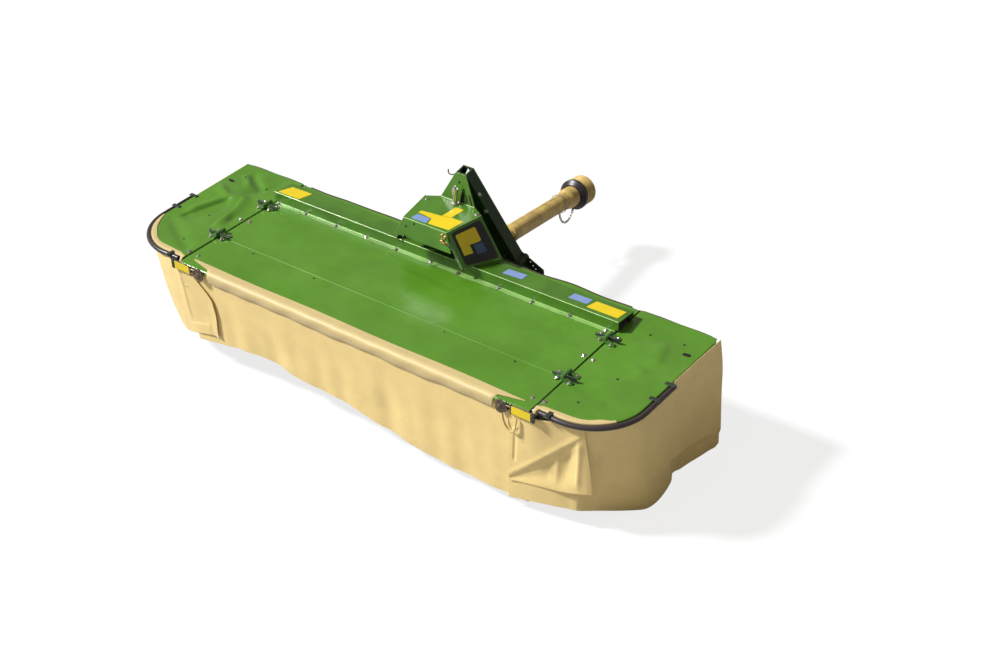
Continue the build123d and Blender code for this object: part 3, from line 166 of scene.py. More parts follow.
GUARD_PLASTIC = Finish(
    "shaft_guard_plastic", "guard_plastic", (0.56, 0.40, 0.12), 0.45, Skin.MOULDED, mottling=0.35,
    worn=(0.72, 0.6, 0.34), wear=0.5, dust=0.4, edge=0.003,
)
RING_PLASTIC = Finish(
    "guard_ring_plastic", "ring_plastic", (0.022, 0.014, 0.018), 0.38, Skin.MOULDED, relief=0.15, mottling=0.2,
    worn=(0.14, 0.11, 0.11), wear=0.5, dust=0.25,
)
SHAFT_STEEL = Finish(
    "greased_steel", "shaft_steel", (0.20, 0.19, 0.18), 0.38, Skin.METAL, metallic=0.9, relief=0.3,
    mottling=0.35, worn=(0.55, 0.53, 0.5), wear=0.6, dust=0.2,
)
CASTING = Finish(
    "gearbox_casting", "gear_cast", (0.06, 0.075, 0.065), 0.5, Skin.CAST, relief=0.5, mottling=0.25, wear=0.5,
    dust=0.35, edge=0.004,
)
LATCH_STEEL = Finish(
    "latch_zinc", "latch_steel", (0.16, 0.115, 0.075), 0.42, Skin.METAL, metallic=0.55, relief=0.25,
    mottling=0.35, worn=(0.5, 0.45, 0.36), wear=0.8, dust=0.2, edge=0.0015,
)
STAND_PAINT = Finish(
    "stand_paint", "stand_paint", (0.05, 0.16, 0.022), 0.36, Skin.SHEET, coat=0.2, relief=0.15, mottling=0.15,
    wear=0.7, dust=0.35, edge=0.003,
)
BOLT_ZINC = Finish(
    "bolt_zinc", "latch_steel", (0.55, 0.53, 0.48), 0.3, Skin.METAL, metallic=0.9, mottling=0.25,
    worn=(0.8, 0.79, 0.76), wear=0.5, dust=0.1, edge=0.001,
)
BRASS = replace(
    BOLT_ZINC, name="brass_fitting", colour=(0.50, 0.34, 0.12), roughness=0.35, worn=(0.8, 0.65, 0.35),
    dust=0.15,
)
YELLOW_PLATE = Finish(
    "blank_yellow_plate", "green_sheet", (0.80, 0.60, 0.012), 0.35, Skin.MOULDED, relief=0.05, mottling=0.06,
    worn=(0.75, 0.62, 0.2), wear=0.2, dust=0.06, edge=0.0008,
)
BLUE_PLATE = replace(
    YELLOW_PLATE, name="blank_blue_plate", colour=(0.22, 0.33, 0.62), mottling=0.08, worn=(0.5, 0.55, 0.65),
    dust=0.08,
)
# Painted shade: a black panel on the cowl's right flank, which lies in shadow.
COWL_FLANK_PAINTED_SHADE = Finish(
    "cowl_flank_painted_shade", "green_frame", (0.010, 0.014, 0.016), 0.4, Skin.SHEET, relief=0.1, mottling=0.2,
    worn=(0.1, 0.12, 0.12),
)
# Painted shade: a darker copy of the cloth for the edge roll, the guard bands and the latch strap, offsetting the
# stronger light on the roll's upward face.
SUN_DIMMED_CLOTH = replace(
    CLOTH, name="cloth_dimmed_painted_shade", colour=(0.62, 0.48, 0.215), roughness=0.5, worn=(0.9, 0.82, 0.62),
    dust=0.04, sheen=0.15,
)
# Painted highlight: a lighter copy of the deck green for the beam's flange strip and the cowl's rolled folds,
# standing in for light on them.
PAINTED_HIGHLIGHT_GREEN = Finish(
    "green_folds_painted_highlight", "green_sheet", (0.22, 0.42, 0.10), 0.28, Skin.SHEET, coat=0.3, relief=0.12,
    mottling=0.25, worn=(0.62, 0.75, 0.48), wear=0.9, dust=0.12, painted_edge_highlight=True,
)
NAVY_PLATE = replace(
    YELLOW_PLATE, name="blank_navy_plate", slot="green_frame", colour=(0.05, 0.09, 0.22), mottling=0.08,
    worn=(0.3, 0.34, 0.45), dust=0.08,
)
# Painted shade: near-black discs, slots and end plates standing for the shade inside holes and the beam's open
# ends.
PAINTED_OPENING_SHADE = Finish(
    "open_hole_shade", "green_frame", (0.004, 0.006, 0.004), 0.7, Skin.SHEET, relief=0.05, mottling=0.1,
    worn=(0.01, 0.01, 0.01), wear=0.0, dust=0.05, edge=0.0005,
)
# Painted highlight: a pale green tube along the beam's top front edge and the riser's foot, standing in for the
# light on those edges.
PAINTED_HIGHLIGHT_FOLD = replace(
    GREEN, name="fold_painted_highlight", colour=(0.46, 0.66, 0.28), roughness=0.22, coat=0.4, mottling=0.25,
    worn=(0.85, 0.92, 0.75), wear=0.9, dust=0.06, edge=0.002,
)
# Painted shade: a near-black green for the coupling triangle and headstock arms, whose faces lie in shadow.
TRIANGLE_PAINTED_SHADE = Finish(
    "triangle_green_painted_shade", "green_frame", (0.009, 0.034, 0.005), 0.55, Skin.SHEET, relief=0.12, mottling=0.15,
    worn=(0.16, 0.30, 0.08), wear=0.6, dust=0.06, edge=0.003, painted_edge_highlight=True,
)
EDGE_RUBBER = Finish(
    "edge_rubber", "bumper_plastic", (0.045, 0.022, 0.014), 0.6, Skin.MOULDED, relief=0.15, mottling=0.25,
    worn=(0.16, 0.09, 0.05), wear=0.4, edge=0.001,
)
# Painted shade: a darker copy of the deck's green for the cross beam, cowl and riser, whose front faces fall in
# shade.
HEADSTOCK_SHADED_GREEN = replace(
    GREEN, name="headstock_green_painted_shade", colour=(0.064, 0.188, 0.011), roughness=0.30, coat=0.3, relief=0.12,
    mottling=0.22, worn=(0.30, 0.48, 0.14), wear=0.5,
)


class Wiring:
    """Adds nodes to one tree and links them."""

    def __init__(self, tree: Tree) -> None:
        """Keep the tree."""
        self.tree = tree

    def add(self, kind: str, **settings: object) -> bpy.types.Node:
        """Add a node and set its properties.

        Args:
            kind: Node type without the ShaderNode prefix.
            **settings: Properties of the node.

        Returns:
            The new node.
        """
        node = self.tree.nodes.new(f"ShaderNode{kind}")
        for key, value in settings.items():
            setattr(node, key, value)
        return node

    def feed(self, node: bpy.types.Node, values: dict[str | int, object]) -> bpy.types.Node:
        """Link inputs of a node to sockets, or set their plain values.

        Args:
            node: The node.
            values: Sockets or plain values by the input's name or number.

        Returns:
            The node.
        """
        for title, value in values.items():
            if isinstance(value, Socket):
                self.tree.links.new(value, node.inputs[title])
            else:
                node.inputs[title].default_value = value
        return node

    def math(self, operation: str, *values: object, clamp: bool = False) -> Socket:
        """Add a Math node."""
        node = self.add("Math", operation=operation, use_clamp=clamp)
        return self.feed(node, dict(enumerate(values))).outputs[0]

    def ramp(self, value: object, low: object, high: object) -> Socket:
        """Add a smooth step from 0 at low to 1 at high."""
        node = self.add("MapRange", interpolation_type="SMOOTHSTEP")
        return self.feed(node, {"Value": value, "From Min": low, "From Max": high}).outputs["Result"]

    def blend(self, factor: object, first: object, second: object) -> Socket:
        """Add a colour Mix node."""
        pair = [(*colour, 1.0) if isinstance(colour, tuple) else colour for colour in (first, second)]
        return self.feed(self.add("Mix", data_type="RGBA"), {0: factor, 6: pair[0], 7: pair[1]}).outputs[2]

    def noise(self, vector: object, scale: object, detail: float, rough: float) -> Socket:
        """Add a noise texture."""
        values = {"Vector": vector, "Scale": scale, "Detail": detail, "Roughness": rough}
        return self.feed(self.add("TexNoise"), values).outputs["Fac"]


class ShaderGroups:
    """Shared node groups, each built once."""

    def __init__(self) -> None:
        """Build every group."""
        self.wear = self._wear_and_highlight()
        self.skins = {skin: self._skin(skin, grain) for skin, grain in GRAINS.items()}

    @staticmethod
    def _open(name: str, inputs: dict[str, float], outputs: Sequence[str]) -> tuple[Wiring, dict, bpy.types.Node]:
        """Start a group.

        Args:
            name: Name of the group.
            inputs: Names of its float inputs with their defaults.
            outputs: Names of its outputs.

        Returns:
            Its wiring, the given sockets by name, and the node that takes the results.
        """
        tree = bpy.data.node_groups.new(name, "ShaderNodeTree")
        for title, value in inputs.items():
            socket = tree.interface.new_socket(title, in_out="INPUT", socket_type="NodeSocketFloat")
            socket.default_value = value
        for title in outputs:
            kind = "NodeSocketVector" if title == "Normal" else "NodeSocketFloat"
            tree.interface.new_socket(title, in_out="OUTPUT", socket_type=kind)
        start = tree.nodes.new("NodeGroupInput")
        return Wiring(tree), {s.name: s for s in start.outputs}, tree.nodes.new("NodeGroupOutput")

    def _wear_and_highlight(self) -> Tree:
        """Edge mask for real edge wear and painted edge highlight, settled dust, mottling and softened edges.

        Returns:
            The group.
        """
        wiring, given, result = self._open(
            "surface_wear_and_edge_highlight",
            {"Edge Width": 0.002, "Wear": 0.5, "Dust": 0.2, "Patch Scale": 3.0},
            ("Edge", "Dust", "Tone", "Normal"),
        )
        place = wiring.add("TexCoord").outputs["Object"]
        soft = wiring.feed(wiring.add("Bevel", samples=4), {"Radius": given["Edge Width"]}).outputs[0]
        normal = wiring.add("NewGeometry").outputs["Normal"]
        dot = wiring.feed(wiring.add("VectorMath", operation="DOT_PRODUCT"), {0: soft, 1: normal})
        turned = wiring.math("SUBTRACT", 1.0, dot.outputs["Value"])
        bare = wiring.math("MULTIPLY", wiring.math("SUBTRACT", 1.0, given["Wear"]), 0.62)
        worn = wiring.ramp(wiring.noise(place, 22.0, 6.0, 0.65), bare, wiring.math("ADD", bare, 0.12))
        patches = wiring.noise(place, given["Patch Scale"], 5.0, 0.6)
        upward = wiring.feed(wiring.add("SeparateXYZ"), {0: normal}).outputs["Z"]
        height = wiring.feed(wiring.add("SeparateXYZ"), {0: place}).outputs["Z"]
        low = wiring.math("SUBTRACT", 1.0, wiring.ramp(height, 0.02, 0.34))
        settled = wiring.math("MAXIMUM", wiring.math("MULTIPLY", wiring.ramp(upward, -0.2, 0.9), 0.35), low)
        cover = wiring.math("MULTIPLY", wiring.ramp(patches, 0.36, 0.72), settled)
        wiring.feed(result, {
            # Edge mask: real edge wear, and a painted highlight along the edges.
            "Edge": wiring.math("MULTIPLY", wiring.ramp(turned, 0.02, 0.22), worn, clamp=True),
            "Dust": wiring.math("MULTIPLY", cover, given["Dust"], clamp=True),
            "Tone": wiring.noise(place, wiring.math("MULTIPLY", given["Patch Scale"], 2.7), 6.0, 0.6),
            "Normal": soft,
        })
        return wiring.tree

    def _skin(self, skin: Skin, grain: Grain) -> Tree:
        """Relief and shade of one skin; drawn metal is stretched along X.

        Args:
            skin: Which skin.
            grain: Its scales and depths.

        Returns:
            The group.
        """
        wiring, given, result = self._open(skin.value, {"Scale": 1.0}, ("Height", "Shade"))
        place = wiring.add("TexCoord").outputs["Object"]
        if skin is Skin.METAL:
            place = wiring.feed(wiring.add("Mapping"), {"Vector": place, "Scale": (0.06, 1.0, 1.0)}).outputs[0]
        scale, fine_scale = (
            wiring.math("MULTIPLY", given["Scale"], size) for size in (grain.scale, grain.fine_scale)
        )
        shade = wiring.noise(place, scale, grain.detail, grain.rough)
        fine = wiring.math("MULTIPLY", self._fine(wiring, skin, place, fine_scale), grain.fine_depth)
        height = wiring.math("ADD", wiring.math("MULTIPLY", shade, grain.depth), fine)
        wiring.feed(result, {"Height": height, "Shade": shade})
        return wiring.tree

    @staticmethod
    def _fine(wiring: Wiring, skin: Skin, place: Socket, scale: Socket) -> Socket:
        """Fine relief: threads, pits, leathery cells, orange peel or drawn lines.

        Args:
            wiring: Wiring of the skin's group.
            skin: Which skin.
            place: Socket of the place.
            scale: Socket of the fine scale.

        Returns:
            The relief's socket.
        """
        at = {"Vector": place, "Scale": scale}
        if skin is Skin.CLOTH:
            threads = (wiring.add("TexWave", bands_direction=direction) for direction in ("X", "Z"))
            woven = [wiring.feed(wave, at | {"Distortion": 0.6}).outputs["Fac"] for wave in threads]
            return wiring.math("MAXIMUM", *woven)
        if skin in (Skin.CAST, Skin.MOULDED):
            cells = wiring.feed(wiring.add("TexVoronoi", feature="F1"), at).outputs["Distance"]
            return wiring.ramp(cells, 0.0, 0.35) if skin is Skin.CAST else cells
        detail, rough = (2.0, 0.5) if skin is Skin.SHEET else (3.0, 0.6)
        return wiring.noise(place, scale, detail, rough)


class PaintShop:
    """Makes one material for each finish."""

    def __init__(self) -> None:
        """Build the shared groups."""
        self.groups = ShaderGroups()
        self.made: dict[str, bpy.types.Material] = {}

    def material(self, finish: Finish) -> bpy.types.Material:
        """Material of a finish, built the first time that it is asked for.

        Args:
            finish: The finish.

        Returns:
            The material.
        """
        if finish.name in self.made:
            return self.made[finish.name]
        material = bpy.data.materials.new(finish.name)
        material.use_nodes = True
        wiring = Wiring(material.node_tree)
        wear = wiring.feed(
            wiring.add("Group", node_tree=self.groups.wear),
            {"Edge Width": finish.edge, "Wear": finish.wear, "Dust": finish.dust},
        ).outputs
        skin = wiring.feed(
            wiring.add("Group", node_tree=self.groups.skins[finish.skin]), {"Scale": finish.skin_scale}
        ).outputs
        low, high = (
            tuple(min(1.0, c * (1 + way * finish.mottling)) for c in finish.colour) for way in (-1, 1)
        )
        tone = wiring.math("MULTIPLY", wiring.math("ADD", wear["Tone"], skin["Shade"]), 0.5)
        colour = wiring.blend(wiring.ramp(tone, 0.32, 0.68), low, high)
        # Edges blend towards the edge colour: real wear, and on the green paints a lighter green that is a painted
        # highlight.
        share = wiring.math("MULTIPLY", wear["Edge"], 0.85 if finish.painted_edge_highlight else 0.7)
        colour = wiring.blend(wear["Dust"], wiring.blend(share, colour, finish.worn), DUST)
        rough = wiring.math("MULTIPLY_ADD", skin["Shade"], 0.16, finish.roughness - 0.08)
        dusty = wiring.math("MULTIPLY", wear["Dust"], 0.35)
        bump = wiring.feed(wiring.add("Bump"), {
            "Strength": finish.relief, "Distance": MM, "Height": skin["Height"], "Normal": wear["Normal"],
        })
        wiring.feed(material.node_tree.nodes["Principled BSDF"], {
            "Base Color": colour,
            "Roughness": wiring.math("ADD", rough, dusty, clamp=True),
            "Normal": bump.outputs[0],
            "Metallic": finish.metallic,
            "Coat Weight": finish.coat,
            "Coat Roughness": 0.12,
            "Sheen Weight": finish.sheen,
        })
        self.made[finish.name] = material
        return material

    def dress(self, piece: bpy.types.Object, finish: Finish) -> None:
        """Give a piece its one material."""
        piece.data.materials.clear()
        piece.data.materials.append(self.material(finish))


@dataclass
class Workshop:
    """What every sub-assembly needs: the paint shop and the ways to add a piece."""

    paint: PaintShop

    def piece(
        self, name: str, shape: Mesh, finish: Finish, body: str = "frame", smooth_deg: float = 30.0
    ) -> bpy.types.Object:
        """Turn a mesh into a piece that rides on a body.

        Args:
            name: Name of the piece.
            shape: Its mesh, in the frame's metres; it is freed.
            finish: Its finish.
            body: The body that it rides on.
            smooth_deg: Edges flatter than this are shaded smooth.

        Returns:
            The new object.
        """
        bmesh.ops.remove_doubles(shape, verts=shape.verts, dist=1e-6)
        bmesh.ops.recalc_face_normals(shape, faces=shape.faces)
        for edge in shape.edges:
            edge.smooth = edge.calc_face_angle(math.pi) < math.radians(smooth_deg)
        for face in shape.faces:
            face.smooth = True
        mesh = bpy.data.meshes.new(name)
        shape.to_mesh(mesh)
        shape.free()
        made = bpy.data.objects.new(name, mesh)
        bpy.context.scene.collection.objects.link(made)
        self.paint.dress(made, finish)
        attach(made, body)
        LOG.info("%s on %s: %d faces", name, body, len(mesh.polygons))
        return made

    def shell(
        self, name: str, place: Surface, steps: tuple[int, int], thickness: float,
        finish: Finish, body: str = "frame", smooth_deg: float = 60.0,
    ) -> bpy.types.Object:
        """Make a piece of sheet about its middle surface.

        Args:
            name: Name of the piece.
            place: Gives the middle surface's point for two shares from 0 to 1.
            steps: Steps of the two shares.
            thickness: Thickness of the sheet.
            finish: Its finish.
            body: The body that it rides on.
            smooth_deg: Edges flatter than this are shaded smooth.

        Returns:
            The new object.
        """
        shape = bmesh.new()
        add_shell(shape, place, *steps, thickness)
        return self.piece(name, shape, finish, body, smooth_deg)

    def blank_plate(
        self, name: str, finish: Finish, corners: Sequence[Point], radius: float, lift: Point = (0, 0, 0.0014)
    ) -> None:
        """Make a blank label plate on the frame.

        Args:
            name: Name of the piece.
            finish: Its finish.
            corners: Outline of its lower face.
            radius: How far from each corner the rounding starts.
            lift: Vector from the lower to the upper face.
        """
        shape = bmesh.new()
        add_plate(shape, round_outline([Vector(c) for c in corners], radius), lift)
        self.piece(name, shape, finish)


def frame_of(at: Sequence[float], normal: Sequence[float], turn: float = 0.0) -> Matrix:
    """Matrix that puts a shape's base at a point with its Z along a direction."""
    aim = Vector(normal).normalized().to_track_quat("Z", "Y").to_matrix().to_4x4()
    return Matrix.Translation(Vector(at)) @ aim @ Matrix.Rotation(turn, 4, "Z")


def ring_points(radius: float, count: int, offset: float = 0.0) -> list[tuple[float, float]]:
    """Even points round a circle."""
    turns = [math.tau * (k + offset) / count for k in range(count)]
    return [(radius * math.cos(turn), radius * math.sin(turn)) for turn in turns]


def join_rings(shape: Mesh, rings: list[list[bmesh.types.BMVert]], closed: bool = False) -> None:
    """Join rings of vertices into a skin, with capped ends unless it is closed.

    Args:
        shape: Mesh to add to.
        rings: Rings with the same number of vertices each.
        closed: Whether the last ring joins the first.
    """
    for first, second in zip(rings, rings[1:] + rings[:1] if closed else rings[1:]):
        for k in range(len(first)):
            m = (k + 1) % len(first)
            shape.faces.new((first[k], first[m], second[m], second[k]))
    if not closed:
        shape.faces.new(rings[0][::-1])
        shape.faces.new(rings[-1])


def add_prism(shape: Mesh, matrix: Matrix, radius: float, low: float, high: float, sides: int,
              taper: float = 1.0) -> None:
    """Add a closed prism or cone along Z.

    Args:
        shape: Mesh to add to.
        matrix: Placing of the prism.
        radius: Radius of its corners at the bottom.
        low: Height of its bottom.
        high: Height of its top.
        sides: Number of sides.
        taper: Top radius over bottom radius.
    """
    join_rings(shape, [
        [shape.verts.new(matrix @ Vector((x, y, level))) for x, y in ring_points(size, sides)]
        for level, size in ((low, radius), (high, radius * taper))
    ])


def add_bolt(shape: Mesh, at: Sequence[float], normal: Sequence[float], size: float = 0.016) -> None:
    """Add a hexagon bolt head on its washer, each turned another way.

    Args:
        shape: Mesh to add to.
        at: Point on the surface.
        normal: The surface's direction.
        size: Width across the head's corners.
    """
    place = frame_of(at, normal, 0.37 * (at[0] * 7 + at[1] * 11))
    add_prism(shape, place, size * 0.85, -0.0004, size * 0.12, 20, 0.96)
    add_prism(shape, place, size * 0.5, size * 0.12, size * 0.48, 6)
    add_prism(shape, place, size * 0.46, size * 0.48, size * 0.54, 6, 0.82)


def add_box(shape: Mesh, matrix: Matrix, size: Sequence[float]) -> None:
    """Add a box centred on a matrix."""
    bmesh.ops.create_cube(shape, size=1.0, matrix=matrix @ Matrix.Diagonal((*size, 1.0)))


def add_tube(shape: Mesh, points: Line, radius: float, sides: int = 10) -> None:
    """Add a solid round bar along points.

    Args:
        shape: Mesh to add to.
        points: Points on its centreline.
        radius: Its radius.
        sides: Number of sides round it.
    """
    line = [Vector(p) for p in points]
    rings = []
    side = (line[1] - line[0]).orthogonal().normalized()
    for i, at in enumerate(line):
        along = (line[min(i + 1, len(line) - 1)] - line[max(i - 1, 0)]).normalized()
        side = (side - along * side.dot(along)).normalized()
        other = along.cross(side)
        rings.append([shape.verts.new(at + radius * (x * side + y * other)) for x, y in ring_points(1.0, sides)])
    join_rings(shape, rings)


def add_plate(shape: Mesh, corners: Line, lift: Sequence[float]) -> None:
    """Add a closed plate from its outline and its thickness."""
    join_rings(shape, [
        [shape.verts.new(Vector(c)) for c in corners], [shape.verts.new(Vector(c) + Vector(lift)) for c in corners]
    ])


def deck_top(y: float) -> float:
    """Height of the deck's top, which kinks at its crease."""
    rise, run = (0.003, 0.464) if y > CREASE_Y else (0.001, 0.319)
    return CREASE_Z + rise * (y - CREASE_Y) / run


def riser_face(z: float) -> float:
    """Y of the riser's front face at a height."""
    return 0.500 + 0.032 * (z - COWL_TOP) / 0.158


def flap_face(z: float) -> float:
    """Y of the cowl flap's front face at a height."""
    return 0.2068 - 0.025 * (COWL_TOP - z) / 0.102


def rotor_x(index: int) -> float:
    """X of a rotor's axis, counted from the left."""
    return (index - (ROTORS - 1) / 2) * PITCH


def leaning(degrees: float) -> Vector:
    """Direction forwards and up by an angle."""
    return Vector((0, -math.cos(math.radians(degrees)), math.sin(math.radians(degrees))))


def round_outline(corners: Sequence[Vector], radius: float) -> list[Vector]:
    """Round the corners of a flat outline.

    Args:
        corners: Its corners in order.
        radius: How far from each corner the rounding starts.

    Returns:
        The rounded outline.
    """
    points = []
    for k, corner in enumerate(corners):
        before = corners[k - 1] - corner
        after = corners[(k + 1) % len(corners)] - corner
        start = corner + before.normalized() * min(radius, before.length * 0.45)
        end = corner + after.normalized() * min(radius, after.length * 0.45)
        for step in range(5):
            u = step / 4
            points.append(start * (1 - u) ** 2 + corner * 2 * u * (1 - u) + end * u**2)
    return points


def add_slot(shape: Mesh, matrix: Matrix, length: float, width: float, height: float) -> None:
    """Add a flat plate with round ends, centred on a matrix.

    Args:
        shape: Mesh to add to.
        matrix: Placing of its lower face.
        length: Full length along X.
        width: Full width.
        height: Its height along Z.
    """
    reach = (length - width) / 2
    outline = []
    for end, first in ((reach, -90), (-reach, 90)):
        for step in range(13):
            turn = math.radians(first + 15 * step)
            outline.append(matrix @ Vector((end + width / 2 * math.cos(turn), width / 2 * math.sin(turn), 0.0)))
    add_plate(shape, outline, matrix.to_3x3() @ Vector((0.0, 0.0, height)))


def add_ring(
    shape: Mesh, matrix: Matrix, inner: float, outer: float, width: float, sides: int
) -> None:
    """Add a flat ring about a matrix's Z axis.

    Args:
        shape: Mesh to add to.
        matrix: Placing of its middle.
        inner: Inner radius.
        outer: Outer radius.
        width: Its width along the axis.
        sides: Number of sides round it.
    """
    section = ((inner, -width / 2), (outer, -width / 2), (outer, width / 2), (inner, width / 2))
    join_rings(shape, [
        [shape.verts.new(matrix @ Vector((radius * x, radius * y, level))) for radius, level in section]
        for x, y in ring_points(1.0, sides)
    ], closed=True)


def smooth(value: float, low: float, high: float) -> float:
    """Smooth step from 0 at low to 1 at high."""
    share = max(0.0, min(1.0, (value - low) / (high - low)))
    return share * share * (3.0 - 2.0 * share)


def read_table(table: Line, at: float) -> Vector:
    """Read rows of (place, values) smoothly between the rows.

    Args:
        table: Rows sorted by place, with the same number of values each.
        at: The place to read.

    Returns:
        The values there.
    """
    last = len(table) - 1
    at = max(table[0][0], min(table[last][0], at))
    i = next(k for k in range(last) if at <= table[k + 1][0])

    def slope(k: int) -> Vector:
        """Slope of the values at a row."""
        before, after = table[max(k - 1, 0)], table[min(k + 1, last)]
        return (Vector(after[1:]) - Vector(before[1:])) / (after[0] - before[0])

    span = table[i + 1][0] - table[i][0]
    u = (at - table[i][0]) / span
    start, end = Vector(table[i][1:]), Vector(table[i + 1][1:])
    return (
        start * (2 * u**3 - 3 * u**2 + 1) + end * (3 * u**2 - 2 * u**3)
        + slope(i) * span * (u**3 - 2 * u**2 + u) + slope(i + 1) * span * (u**3 - u**2)
    )


def rim_steps(across: int, down: int) -> list[tuple[int, int]]:
    """Steps round the rim of a grid."""
    rim = [(i, 0) for i in range(across)] + [(across, j) for j in range(down)]
    return rim + [(i, down) for i in range(across, 0, -1)] + [(0, j) for j in range(down, 0, -1)]


def add_shell(
    shape: Mesh, place: Surface, across: int, down: int, thickness: float
) -> None:
    """Add a closed sheet about the middle surface that place gives.

    Args:
        shape: Mesh to add to.
        place: Gives the middle surface's point for two shares from 0 to 1.
        across: Steps of the first share.
        down: Steps of the second share.
        thickness: Thickness of the sheet.
    """
    middle = [[place(i / across, j / down) for j in range(down + 1)] for i in range(across + 1)]
    faces = []
    for way in (0.5, -0.5):
        grid = []
        for i in range(across + 1):
            row = []
            for j in range(down + 1):
                along_s = middle[min(i + 1, across)][j] - middle[max(i - 1, 0)][j]
                along_t = middle[i][min(j + 1, down)] - middle[i][max(j - 1, 0)]
                normal = along_s.cross(along_t).normalized()
                row.append(shape.verts.new(middle[i][j] + normal * way * thickness))
            grid.append(row)
        faces.append(grid)
    outer, inner = faces
    for i in range(across):
        for j in range(down):
            shape.faces.new((outer[i][j], outer[i + 1][j], outer[i + 1][j + 1], outer[i][j + 1]))
            shape.faces.new((inner[i][j + 1], inner[i + 1][j + 1], inner[i + 1][j], inner[i][j]))
    rim = rim_steps(across, down)
    for (a, b), (c, d) in zip(rim, rim[1:] + rim[:1]):
        shape.faces.new((outer[a][b], inner[a][b], inner[c][d], outer[c][d]))


def thicken(shape: Mesh, depth: float) -> None:
    """Close an open sheet by adding its inner face and its rim.

    Args:
        shape: The open sheet, with its normals outwards.
        depth: Thickness added behind it.
    """
    shape.normal_update()
    twins = {vert: shape.verts.new(vert.co - vert.normal * depth) for vert in list(shape.verts)}
    rims = [edge for edge in shape.edges if edge.is_boundary]
    for face in list(shape.faces):
        shape.faces.new([twins[vert] for vert in reversed(face.verts)])
    for edge in rims:
        first, second = edge.link_loops[0].vert, edge.link_loops[0].link_loop_next.vert
        shape.faces.new((second, first, twins[first], twins[second]))


@dataclass(frozen=True)
class Fold:
    """A crease, ridge or hollow along a line on a sheet."""

    start: tuple[float, float]
    end: tuple[float, float]
    height: float
    near: float
    far: float
    fade: float = 0.06

    def at(self, x: float, y: float) -> float:
        """Height that the fold adds at a place.

        Args:
            x: First coordinate on the sheet.
            y: Second coordinate on the sheet.

        Returns:
            The height.
        """
        ax, ay = self.start
        dx, dy = self.end[0] - ax, self.end[1] - ay
        length = math.hypot(dx, dy)
        along = ((x - ax) * dx + (y - ay) * dy) / length
        aside = ((x - ax) * dy - (y - ay) * dx) / length
        width = self.near if aside > 0 else self.far
        window = smooth(along, -self.fade, self.fade) * (1 - smooth(along, length - self.fade, length + self.fade))
        return self.height * window * math.exp(-((aside / width) ** 2))


@dataclass(frozen=True)
class GuardPlan:
    """Plan of a side guard's rounded edge, drawn on the right side."""

    edge_x: float = 1.153
    front_y: float = -0.452
    front_drop: float = 0.012
    width: float = 0.417
    flare: float = 0.034
    rear_y: float = 0.530
    corner: float = 0.290

    @property
    def centre(self) -> Pair:
        """Centre of the rounded front corner.

        Returns:
            Its x and y.
        """
        share = (self.width - self.corner) / self.width
        middle_y = self.front_y - self.front_drop * share + self.corner
        return self.side_x(middle_y) - self.corner, middle_y

    @property
    def front_run(self) -> float:
        """Length of the straight front edge."""
        return self.centre[0] - self.edge_x

    @property
    def arc(self) -> float:
        """Length of the rounded corner."""
        return self.corner * math.pi / 2

    @property
    def length(self) -> float:
        """Length of the whole edge, from the hinge to the rear."""
        return self.front_run + self.arc + self.rear_y - self.centre[1]

    def side_x(self, y: float) -> float:
        """X of the flared outer side at a place along it."""
        return self.edge_x + self.width + self.flare * (y - self.front_y) / (self.rear_y - self.front_y)

    def point(self, distance: float, out: float) -> Pair:
        """Point of the edge at a distance along it, moved outwards.

        Args:
            distance: Distance from the hinge's end.
            out: How far outside the edge.

        Returns:
            Its x and y.
        """
        centre_x, centre_y = self.centre
        if distance < self.front_run:
            return self.edge_x + distance, centre_y - self.corner - out
        if distance < self.front_run + self.arc:
            turn = (distance - self.front_run) / self.corner - math.pi / 2
            reach = self.corner + out
            return centre_x + reach * math.cos(turn), centre_y + reach * math.sin(turn)
        back = distance - self.front_run - self.arc
        run = self.rear_y - centre_y
        end = self.edge_x + self.width + self.flare
        return centre_x + self.corner + out + (end - centre_x - self.corner) * back / run, centre_y + back


PLAN = GuardPlan()


@dataclass
class FrontCurtain:
    """Cloth that hangs from the front rail, its hem cut in a wave."""

    shop: Workshop
    half: float = 1.120
    top: float = 0.6745
    straight_to: float = 0.645
    face: float = -0.4922
    lean: float = 0.042
    lean_depth: float = 0.600
    thickness: float = 0.003
    wave: float = 0.0075
    loose_below: Pair = (0.02, 0.40)
    calm_ends: Pair = (0.86, 1.0)
    cut: Pair = (2.25, 0.63)
    cut_area: float = 1.21
    rolls: Table = ((1.0, 15.0, 0.6, 1.0), (0.7, 24.0, -1.1, 0.0), (0.5, 41.0, 0.0, 2.0))
    hem: Spots = (
        (-1.0, 0.155), (-0.80, 0.195), (-0.67, 0.222), (-0.51, 0.230), (-0.32, 0.200), (0.0, 0.170),
        (0.17, 0.132), (0.40, 0.088), (0.62, 0.062), (1.0, 0.070),
    )

    def place(self, s: float, t: float) -> Vector:
        """Middle surface of the cloth.

        Args:
            s: Share across, from the left.
            t: Share down, from the rail.

        Returns:
            The point.
        """
        x = self.half * (2 * s - 1)
        low = read_table([(a, b, 0.0) for a, b in self.hem], 2 * s - 1)[0]
        z = self.top + (low - self.top) * t
        y = self.face + self.lean * max(0.0, self.straight_to - z) / self.lean_depth
        free = smooth(self.straight_to - z, *self.loose_below) * (1 - smooth(abs(x), *self.calm_ends))
        roll = sum(share * math.sin(x * count + start + lean * z) for share, count, start, lean in self.rolls)
        crumple = noise.noise(Vector((x * 5.0, 3.0, z * 4.0)))
        y -= self.wave * free * (0.45 * roll + 0.9 * crumple)
        return Vector((x, y, z))

    def build(self) -> None:
        """Make the curtain in place of its plain solid."""
        piece = self.shop.shell("front_curtain_cloth", self.place, (260, 60), self.thickness, CLOTH)
        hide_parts("front_curtain")


